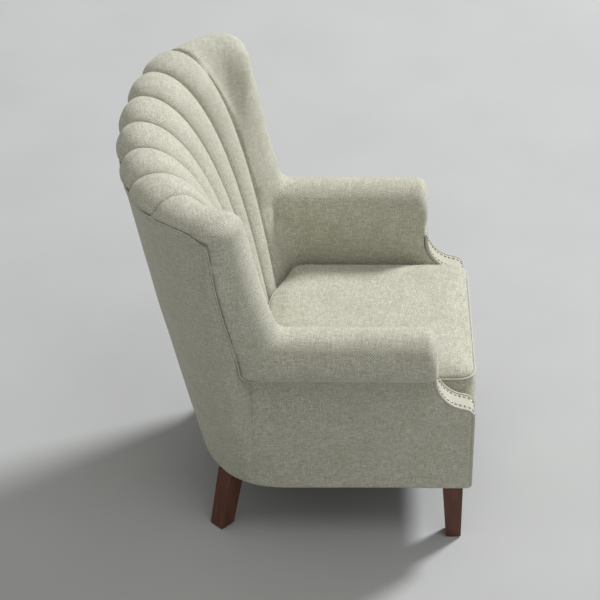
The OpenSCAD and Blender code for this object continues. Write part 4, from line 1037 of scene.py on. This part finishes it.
def make_side_cover(side):
    """Wing, arm roll and inside arm under one continuous cloth."""
    parts = [wing_solid(), low_wing_solid(), arm_solid(), rear_strip_solid(),
             slab_solid(ARM_IN, ARM_IN + 25.4, DECK_TOP + 0.5, ARM_Z - 6),
             slab_solid(ARM_IN, HALF_W - 0.5, ARM_Z - ARM_R + 1, ARM_Z - 6)]
    obj = closed_object(f"cover_{side}_arm_and_wing", *joined(parts))
    remesh(obj, COVER_SQUARE)
    relax(obj, 1.0, 3)
    dist, _ = Line(crease_line()).near(points(obj), 75)
    relax(obj, np.exp(-((dist / CREASE_REACH) ** 2)), 70, 0.6)
    co = points(obj)
    corner = np.hypot(co[:, 0] - ARM_IN, co[:, 1] - depth_y(JOINT_IN_D))
    below_roll = clamp01((ARM_Z - 10 - co[:, 2]) / 40)
    relax(obj, np.exp(-((corner / CORNER_REACH) ** 2)) * below_roll, 170, 0.6)
    outer = Line(outer_seam_path()[1])
    inner = Line(seam_line(SEAMS, 4.0))
    co = points(obj)
    pinned = np.zeros(len(co))
    for line, width in ((outer, 20.0), (inner, 14.0)):
        d, _ = line.near(co, 60)
        pinned = np.maximum(pinned, np.exp(-((d / width) ** 2)))
    hidden = (co[:, 2] < DECK_TOP + 8) | ((co[:, 0] > ARM_IN + 18) & (co[:, 2] < ARM_Z - ARM_R + 6))
    pinned[hidden] = 1
    inflate(obj, pinned, pressure=2.0, cap=3.0, frames=10, quality=3)
    sew(obj, inner, groove=3.0, width=6.0, pucker=0.4, reach=16.0, spacing=22.0, seed=3)
    sew(obj, outer, groove=1.6, width=5.0, pucker=0.6, reach=16.0, spacing=15.0, seed=5)
    to_side(obj, side)
    finish_piece(obj, "linen_cover", [f"{side}_wing_pad", f"{side}_arm_pad"])


# Outer panels
FLAP_Z = 485.0  # above it the folded-in side edge of the back runs further forward
PANEL_RISE, PANEL_RISE_D = 16.0, 486.0  # climb of the outside arm's upper edge behind this depth
FOOT_R = 9.0  # rounds the lower front corner of the arm


def seam_side(z):
    """The place x, y of the side seam at a height."""
    t = (z - BASE_Z) / (SEAM_TOP[2] - BASE_Z)
    return mix(outline_x(PANEL_SEAM_D), SEAM_TOP[0], t), mix(depth_y(PANEL_SEAM_D), depth_y(SEAM_TOP[1]), t)


def side_seam(sign=1):
    """The seam where the outside back meets an outside arm."""
    z = np.linspace(BASE_Z, SEAM_TOP[2], 30)
    x, y = seam_side(z)
    return Line(vec(x * sign, y, z))


def make_outside_back():
    """One cloth round the rear and the outsides of the wings, tucked in along its seams."""
    c = np.linspace(0, 1, 110)
    rows = np.concatenate([np.linspace(0, 1, 110), 1 + np.array([0.012, 0.03, 0.05, 0.08])])[:, None]
    v = rows * seam_height(c)[None]
    tuck = np.minimum(np.maximum(rows - 0.997, 0) * 200, 5.0)
    grids = []
    for less, inset in ((SEAM_DEPTH, 0.0), (SEAM_DEPTH + PANEL_T, PANEL_T)):
        half = panel_point(less, inset, c[None], v)
        half = half - unit(panel_point(0.0, 0.0, c[None], v) - panel_point(6.0, 6.0, c[None], v)) * up(tuck)
        edge = half[:, -1]
        lift = soft_step((edge[:, 2] - FLAP_Z) / 22)
        flap = [edge + vec(mix(-3.0 - 1.5 * k, -0.8 * k, lift), -k * mix(7.0, 20.0, lift), 0)
                for k in (1, 2)]
        half = np.concatenate([half, np.stack(flap, axis=1)], axis=1)
        grids.append(np.concatenate([half[:, :0:-1] * [-1, 1, 1], half], axis=1))
    obj = closed_object("cover_outside_back", *solid_between(*grids))
    rear_seam = np.concatenate(outer_seam_path())
    co = points(obj)
    folded = vec(np.abs(co[:, 0]), co[:, 1], co[:, 2])
    edge = np.minimum(Line(rear_seam).near(folded, 80)[0], side_seam().near(folded, 80)[0])
    relax(obj, soft_step((edge - 7) / 30) * soft_step((co[:, 2] - BASE_Z - 8) / 60)
          * soft_step((folded[:, 0] - 120) / 80), 200, 0.6)
    co, no = points(obj), normals(obj)
    set_points(obj, co + no * up(0.9 * smooth_noise(co * [1, 1, 0.55], 150.0, 4)))
    for k in (-1, 1):
        line = Line(rear_seam * [k, 1, 1])
        sew(obj, line, groove=1.0, width=5.0, pucker=0.5, reach=18.0, spacing=18.0, seed=11)
        sew(obj, side_seam(k), groove=0.7, width=3.0, pucker=0.3, reach=12.0, spacing=24.0, seed=12)
    finish_piece(obj, "linen_cover", ["outside_back"])


def round_foot(path):
    """Rounds the lower front corner of a profile that runs down to the base."""
    rest = np.clip(FOOT_R - (path[:, 1] - BASE_Z), 0, FOOT_R)
    return path + np.stack([FOOT_R - np.sqrt(FOOT_R**2 - rest**2), 0 * rest], -1)


def make_outside_arm(side):
    path = scoop_path(STRIP_T + GAP, BASE_Z)
    path = np.concatenate([[[path[0][0], ARM_Z - ARM_R - GAP]], path])
    path = round_foot(resample(path, 3.5))
    q1, q2 = np.linspace(0, 1, 56), np.linspace(0, 1, 20)[1:]
    grids = []
    for less in (0.0, PANEL_T):
        z = path[:, 1][:, None]
        ex, ey = seam_side(path[:, 1])
        flat = vec(HALF_W - less, mix(path[:, 0][:, None], depth_y(SIDE_END_D), q1[None]), z)
        lap = 5.0 * clamp01((q2 - 0.93) / 0.07)
        bend = vec(mix(HALF_W, ex[:, None], q2[None] ** REAR_FULL) - less - lap * 0.35,
                   mix(depth_y(SIDE_END_D), ey[:, None] - GAP, q2[None]) + lap, z)
        rise = soft_step((bend[..., 1] - depth_y(PANEL_RISE_D)) / 40) * clamp01((z - ARM_Z + ARM_R + 60) / 60)
        bend[..., 2] += PANEL_RISE * rise
        grids.append(np.concatenate([flat, bend], axis=1))
    obj = closed_object(f"cover_{side}_outside_arm", *solid_between(*grids))
    co, no = points(obj), normals(obj)
    set_points(obj, co + no * up((no[:, 0] > 0.3) * 0.8 * smooth_noise(co * [1, 0.7, 1], 130.0, 8)))
    sew(obj, side_seam(), groove=0.7, width=3.0, pucker=0.3, reach=12.0, spacing=24.0, seed=13)
    sew(obj, Line(arm_seam_path()), groove=0.5, width=5.0, pucker=0.6, reach=20.0, spacing=20.0, seed=14)
    to_side(obj, side)
    finish_piece(obj, "linen_cover", [f"{side}_outside_arm"])


def make_front_border():
    x = np.linspace(-(ARM_IN - GAP), ARM_IN - GAP, 90)
    z = np.linspace(BASE_Z, DECK_TOP - GAP, 24)
    xx, zz = np.meshgrid(x, z, indexing="xy")
    edge = np.minimum(zz - BASE_Z, DECK_TOP - GAP - zz) / 6
    face = vec(xx, Y_FRONT + 1.5 * (1 - rounded(edge)), zz)
    rear = vec(xx, Y_FRONT + 6, zz)
    obj = closed_object("cover_front_border", *solid_between(face, rear))
    co, no = points(obj), normals(obj)
    set_points(obj, co + no * up((no[:, 1] < -0.3) * 0.5 * (smooth_noise(co, 90.0, 21) - 0.6)))
    finish_piece(obj, "linen_cover", ["front_border"])


# Arm fronts, welts and nails
# STRIP_RISE is how far the strip's top reaches up into the roll.
NAIL_R, NAIL_H, NAIL_INSET, NAIL_STEP, NAIL_START = 3.7, 3.3, 13.0, 11.5, 10.0
INNER_WELT_R, OUTER_WELT_R, STRIP_RISE = 3.2, 2.4, 3.0


def strip_profile(back):
    """Points (y, z) down the arm front strip, evenly spaced."""
    path = scoop_path(back, BASE_Z)
    top = [[path[0][0], ARM_Z - ARM_R + STRIP_RISE]]
    return round_foot(resample(np.concatenate([top, path]), count=160))


def make_arm_front(side):
    """Scooped strip of an arm; gives its profile and the directions out of it."""
    outer, inner = strip_profile(0), strip_profile(STRIP_T)
    across = np.linspace(0, 1, 20)
    x = mix(ARM_IN + GAP, HALF_W - GAP, across)
    t = np.gradient(outer, axis=0)
    n2 = unit(np.stack([t[:, 1], -t[:, 0]], -1))
    n2 *= np.where(n2[:, :1] * -1 + n2[:, 1:] > 0, 1, -1)
    rows_at = (NAIL_INSET / (x[-1] - x[0]), 1 - NAIL_INSET / (x[-1] - x[0]))
    puff = 1.6 * np.sqrt(clamp01(1 - np.abs(2 * across - 1) ** 4))
    for at in rows_at:
        puff = puff - 0.7 * np.exp(-(((across - at) / 0.035) ** 2))
    face = vec(x, outer[:, :1] + n2[:, :1] * puff, outer[:, 1:] + n2[:, 1:] * puff)
    rear = vec(x, inner[:, :1], inner[:, 1:])
    obj = closed_object(f"cover_{side}_arm_front", *solid_between(face, rear))
    to_side(obj, side)
    finish_piece(obj, "linen_cover", [f"{side}_arm_front"], material="strip")
    return outer, n2


def make_arm_welts(side, outer, n2):
    """A welt along each edge of the strip."""
    parts = []
    for x, r in ((ARM_IN + GAP + INNER_WELT_R, INNER_WELT_R), (HALF_W - 1.6, OUTER_WELT_R)):
        path = outer + n2 * (r * 0.35)
        line = resample(vec(np.full(len(path), x), path[:, 0], path[:, 1]), 4.0)
        swell = r * (1 + 0.05 * smooth_noise(line, 26.0, 31))
        parts.append(tube(line, swell, 12))
    obj = closed_object(f"{side}_arm_front_welts", *joined(parts))
    to_side(obj, side)
    finish_piece(obj, "welt_cord", [f"{side}_arm_welts"])


def make_nails(side, outer, n2):
    """Two rows of domed nail heads along the strip."""
    run = run_along(outer)
    count = int((run[-1] - 2 * NAIL_START) / NAIL_STEP)
    heads = []
    turn = np.linspace(0, 2 * np.pi, 14, endpoint=False)
    for q in np.linspace(NAIL_START, run[-1] - NAIL_START, count + 1):
        p = np.array([np.interp(q, run, outer[:, k]) for k in range(2)])
        m = unit(np.array([np.interp(q, run, n2[:, k]) for k in range(2)]))
        normal = np.array([0, m[0], m[1]])
        circle = up(np.cos(turn)) * [1.0, 0, 0] + up(np.sin(turn)) * np.cross(normal, [1.0, 0, 0])
        for x in (ARM_IN + GAP + NAIL_INSET, HALF_W - NAIL_INSET):
            centre = np.array([x, p[0], p[1]]) + normal * 0.7
            rings = [centre + normal * (NAIL_H * math.sin(e)) + NAIL_R * math.cos(e) * circle
                     for e in np.radians((-18, 0, 25, 48, 70))]
            heads.append(solid_rings(np.array(rings)))
    obj = closed_object(f"{side}_nail_heads", *joined(heads))
    to_side(obj, side)
    finish_piece(obj, "nail_heads", [f"{side}_nails"])


def make_seam_welts():
    """Narrow cords in the seams round the back, down the wings and under the arms."""
    one, path = outer_seam_path()
    half = np.concatenate([one, path])
    top = resample(np.concatenate([half[:0:-1] * [-1, 1, 1], half]), 4.0)
    obj = closed_object("seam_welts", *tube(top, 1.9 * (1 + 0.08 * smooth_noise(top, 24.0, 41)), 10))
    finish_piece(obj, "welt_cord", [], material="linen_cover")


# Loose cushion
# Toward its top it is drawn in sideways by the share CUSHION_DRAWN.
CUSHION_X, CUSHION_FRONT, LOW_WELT_Z = ARM_IN - CUSHION_GAP, -OVERALL_D / 2, 306.5
CUSHION_REAR_D, CUSHION_DRAWN = 498.0, 0.075
CUSHION_MID = np.array([0.0, (CUSHION_FRONT + depth_y(JOINT_IN_D)) / 2])
# Heights of the upper and lower seam, each with the height whose outline it follows.
CUSHION_SEAMS = ((CUSHION_EDGE_Z, CUSHION_EDGE_Z), (LOW_WELT_Z, CUSHION_Z))


def cushion_plan(z):
    """Outline of the cushion at a height, anticlockwise from the middle of the front."""
    t, c = SEAT_LINE_Z - z, 13 * 0.55 + CUSHION_GAP - SEAM_SINK
    p = np.array([SEAMS * (CHANNEL_W - SIDE_LEAN * t), depth_y(BACK_D - SEAT_BOW) - LOW_LEAN * t - c])
    m = depth_y(BACK_D) - LOW_LEAN * t - c
    k, y0 = CUSHION_CORNER, CUSHION_FRONT
    a = np.linspace(0, np.pi / 2, 24)
    corner = np.stack([CUSHION_X - k + k * np.sin(a), y0 + k - k * np.cos(a)], -1)
    q = np.linspace(1, 0, 40)[:, None]
    side = mix(p, np.array([CUSHION_X, depth_y(JOINT_IN_D) - 6]), q) - np.concatenate(
        [0 * q, (LOW_BULGE - SEAM_SINK) * np.sin(np.pi * q)], -1)
    q = np.linspace(1, 0, 40)[1:, None]
    rear = np.concatenate([p[0] * q, m - (m - p[1]) * q * q], -1)
    half = np.concatenate([[[0, y0]], corner, side, rear])
    loop = np.concatenate([half, (half * [-1, 1])[-2:0:-1], half[:1]])
    loop = resample(loop, count=361)[:-1]
    loop[:, 1] = np.minimum(loop[:, 1], depth_y(CUSHION_REAR_D))
    rear = up(soft_step((loop[:, 1] - depth_y(CUSHION_REAR_D - 140)) / 50))
    for k in range(50):
        smooth = loop * 0.5 + (np.roll(loop, 1, 0) + np.roll(loop, -1, 0)) * 0.25
        loop = smooth if k < 6 else mix(loop, smooth, rear)
    return loop


def cushion_ring(z, plan_z, inset):
    """Ring of the cushion at height z, inside its outline at height plan_z."""
    loop = cushion_plan(plan_z)
    t = np.roll(loop, -1, 0) - np.roll(loop, 1, 0)
    n2 = unit(np.stack([t[:, 1], -t[:, 0]], -1))
    if np.sum(n2 * (loop - CUSHION_MID)) < 0:
        n2 = -n2
    if inset < 30:
        loop = loop - n2 * inset
    else:
        loop = CUSHION_MID + (loop - CUSHION_MID) * (1 - inset / CUSHION_X)
    return vec(loop[:, 0] * (1 - CUSHION_DRAWN * soft_step((z - CUSHION_Z) / 130)), loop[:, 1], z)


def limit_cushion(obj):
    """The cushion's sides stay between the arms and before the back."""
    co = points(obj)
    co[:, 2] = np.maximum(co[:, 2], CUSHION_Z)
    co[:, 0] = np.clip(co[:, 0], -CUSHION_X, CUSHION_X)
    co[:, 1] = np.maximum(co[:, 1], CUSHION_FRONT - 2)
    set_points(obj, co)


def cushion_rings():
    """Rings from the middle of the underside up the boxed side to the middle of the crown."""
    rings = []
    for q in (0.04, 0.3, 0.6, 0.85):
        rings.append(cushion_ring(CUSHION_Z, CUSHION_Z, CUSHION_X * (1 - q)))
    rings.append(cushion_ring(CUSHION_Z, CUSHION_Z, 5))
    rings.append(cushion_ring(CUSHION_Z + 2.5, CUSHION_Z, 2))
    low, high = LOW_WELT_Z, CUSHION_EDGE_Z
    for v in np.linspace(0, 1, 22):
        z = mix(low, high, v)
        swell = math.sin(math.pi * v)
        rings.append(cushion_ring(z, z, 2.2 - 0.9 * swell))
    for z, inset in ((high + 2.5, 1.6), (high + 6, 3.4), (high + 9, 7), (high + 11.5, 12), (high + 13.5, 18),
                     (high + 15, 25)):
        rings.append(cushion_ring(z, high, inset))
    for q in (0.86, 0.8, 0.7, 0.56, 0.4, 0.22, 0.04):
        rings.append(cushion_ring(high + 15 + (CROWN - 17) * (1 - (q / 0.9) ** 2), high, CUSHION_X * (1 - q)))
    return np.array(rings)


def make_cushion():
    obj = closed_object("cover_seat_cushion", *solid_rings(cushion_rings()))
    remesh(obj, CUSHION_SQUARE)
    relax(obj, 1.0, 2)
    edges = (cushion_ring(z, plan_z, 1.5) for z, plan_z in CUSHION_SEAMS)
    seam, foot = [Line(np.concatenate([ring, ring[:1]])) for ring in edges]
    co = points(obj)
    pinned = np.where(co[:, 2] < CUSHION_Z + 1.5, 1.0, 0.0)
    for line in (seam, foot):
        d, _ = line.near(co, 30)
        pinned = np.maximum(pinned, np.exp(-((d / 7) ** 2)))
    inflate(obj, pinned, pressure=4.0, cap=6.0, loose=0.01, frames=16, quality=4)
    limit_cushion(obj)
    sew(obj, seam, groove=2.2, width=4.0, pucker=0.8, reach=18.0, spacing=17.0, seed=51)
    sew(obj, foot, groove=2.2, width=4.0, pucker=0.7, reach=16.0, spacing=17.0, seed=52)
    finish_piece(obj, "linen_cover", ["seat_cushion"], body="cushion")


def make_cushion_welts():
    parts = []
    for (z, plan_z), r, inset in zip(CUSHION_SEAMS, (2.5, 2.4), (1.6, 2.4)):
        path = cushion_ring(z, plan_z, inset)
        parts.append(tube(path, r * (1 + 0.05 * smooth_noise(path, 22.0, 53)), 12, closed=True))
    obj = closed_object("cushion_seam_welts", *joined(parts))
    finish_piece(obj, "welt_cord", ["cushion_welts"], body="cushion")


# Deck, dust cover and the frame's finishes
DECK_NARROW_D = 492.0  # the deck is narrower behind this depth


def make_deck():
    low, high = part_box("deck_pad")
    low, high = np.array(low) / MM, np.array(high) / MM
    x = np.linspace(low[0], high[0], 100)
    y = np.linspace(low[1], high[1], 100)
    xx, yy = np.meshgrid(x, y, indexing="xy")
    narrow = 20.0 * soft_step((yy - depth_y(DECK_NARROW_D)) / 6.0)
    xx = xx * (1 - narrow / high[0])
    edge = np.minimum(np.minimum(high[0] - np.abs(xx) - narrow, yy - low[1]), high[1] - yy) / 9.0
    top = high[2] - 3.5 * (1 - rounded(edge))
    top = top - 2.6 * np.exp(-(((yy - (low[1] + 95)) / 3.0) ** 2))
    top = top - 0.8 - 0.7 * smooth_noise(vec(xx, yy, 0).reshape(-1, 3), 120.0, 61).reshape(xx.shape)
    obj = closed_object("cover_deck", *solid_between(vec(xx, yy, top), vec(xx, yy, low[2])))
    finish_piece(obj, "deck_cloth", ["deck_pad"])


def make_dust_cover():
    """Thin cloth stapled under the frame, cut round the legs."""
    mesh = frame["nodes"]["dust_cover"].data.copy()
    obj = bpy.data.objects.new("cover_dust_cloth", mesh)
    bpy.context.scene.collection.objects.link(obj)
    bm = bmesh.new()
    bm.from_mesh(mesh)
    bmesh.ops.remove_doubles(bm, verts=bm.verts, dist=1e-5)
    for k in range(-7, 8):
        for axis in (0, 1):
            no = (1 - axis, axis, 0)
            at = [k * 0.05 * v for v in no]
            geom = bm.verts[:] + bm.edges[:] + bm.faces[:]
            bmesh.ops.bisect_plane(bm, geom=geom, plane_co=at, plane_no=no)
    bm.to_mesh(mesh)
    bm.free()
    co = points(obj)
    sag = clamp01(1 - np.abs(co[:, 0]) / 300) * clamp01(1 - np.abs(co[:, 1]) / 400)
    co[:, 2] -= 2.0 * soft_step(sag) * (1 + 0.4 * smooth_noise(co, 90.0, 71))
    set_points(obj, co)
    finish_piece(obj, "dust_cloth", ["dust_cover"])


def dress_frame():
    """Finishes on the pieces that come from the frame as they are."""
    slots = {s["node"]: s["material_slot"] for s in frame["record"]["subparts"]}
    for name, obj in frame["nodes"].items():
        obj.data.materials.clear()
        obj.data.materials.append(MATERIALS[slots[name]])
        if slots[name] in ("walnut_leg", "beech_frame", "plywood"):
            mod = obj.modifiers.new("edges", "BEVEL")
            mod.width = 0.0028 if slots[name] == "walnut_leg" else 0.0015
            mod.segments = 3
            mod.limit_method, mod.angle_limit = "ANGLE", math.radians(50)


# Light, floor and camera
# In metres and watts. The camera looks down on the chair's right side, as in the photo.
FLOOR_HALF = 30.0
KEY_PLACE, KEY_SIZE, KEY_POWER, KEY_COLOUR = (8.85, -9.75, 11.9), 3.6, 3230.0, (0.985, 0.995, 1.02)
FILL_PLACE, FILL_SIZE, FILL_POWER, FILL_COLOUR = (-4.0, -3.0, 10.0), 6.0, 165.0, (1.0, 1.0, 1.0)
LAMP_AIM = (0, 0, 0.5)
SKY_COLOUR, SKY_POWER = (1.0, 1.0, 0.97, 1.0), 0.425
CAMERA_PLACE, CAMERA_LENS, CAMERA_SENSOR = (-5.1787, -0.0328, 4.1203), 153.66, 36.0
CAMERA_RIGHT, CAMERA_AHEAD = (0.005585, -0.99998, 0.0), (0.81914, 0.004575, -0.57358)


def add_lamp(name, place, size, power, colour):
    """A round lamp that looks at the chair."""
    data = bpy.data.lights.new(name, "AREA")
    data.shape, data.size, data.energy, data.color = "DISK", size, power, colour
    obj = bpy.data.objects.new(name, data)
    bpy.context.scene.collection.objects.link(obj)
    place = Vector(place)
    obj.location = place
    obj.rotation_euler = (Vector(LAMP_AIM) - place).to_track_quat("-Z", "Y").to_euler()


def make_floor():
    half = FLOOR_HALF / MM
    verts = [(-half, -half, 0), (half, -half, 0), (half, half, 0), (-half, half, 0)]
    floor = new_object("floor", verts, [[0, 1, 2, 3]], smooth=False)
    mat, n, shader = new_material("floor_paint")
    where = object_place(n)
    tone = n.noise(where, 3.0, 3.0, 0.5)
    n.feed(shader, "Base Color", n.mix(n.ramp(tone, 0.3, 0.7), srgb(178, 179, 178), srgb(181, 182, 181)))
    n.feed(shader, "Roughness", 0.75)
    n.feed(shader, "Specular IOR Level", 0.2)
    floor.data.materials.append(mat)


def make_light():
    world = bpy.data.worlds.new("world")
    bpy.context.scene.world = world
    world.use_nodes = True
    back = world.node_tree.nodes["Background"]
    back.inputs[0].default_value = SKY_COLOUR
    back.inputs[1].default_value = SKY_POWER
    add_lamp("key", KEY_PLACE, KEY_SIZE, KEY_POWER, KEY_COLOUR)
    add_lamp("fill", FILL_PLACE, FILL_SIZE, FILL_POWER, FILL_COLOUR)


def make_camera():
    scene = bpy.context.scene
    scene.view_settings.view_transform = "Standard"
    cam = bpy.data.cameras.new("camera")
    cam.lens, cam.sensor_width = CAMERA_LENS, CAMERA_SENSOR
    cam.clip_end = 200.0
    obj = bpy.data.objects.new("camera", cam)
    scene.collection.objects.link(obj)
    right, ahead = Vector(CAMERA_RIGHT).normalized(), Vector(CAMERA_AHEAD).normalized()
    top = right.cross(ahead).normalized()
    turn = Matrix((right, top, -ahead)).transposed().to_4x4()
    obj.matrix_world = Matrix.Translation(CAMERA_PLACE) @ turn
    scene.camera = obj


for channel_number in range(1, 7):
    make_channel(channel_number)
for side_name in ("left", "right"):
    make_side_cover(side_name)
    make_outside_arm(side_name)
    strip_shape = make_arm_front(side_name)
    make_arm_welts(side_name, *strip_shape)
    make_nails(side_name, *strip_shape)
make_outside_back()
make_front_border()
make_seam_welts()
make_cushion()
make_cushion_welts()
make_deck()
make_dust_cover()
dress_frame()
make_floor()
make_light()
make_camera()
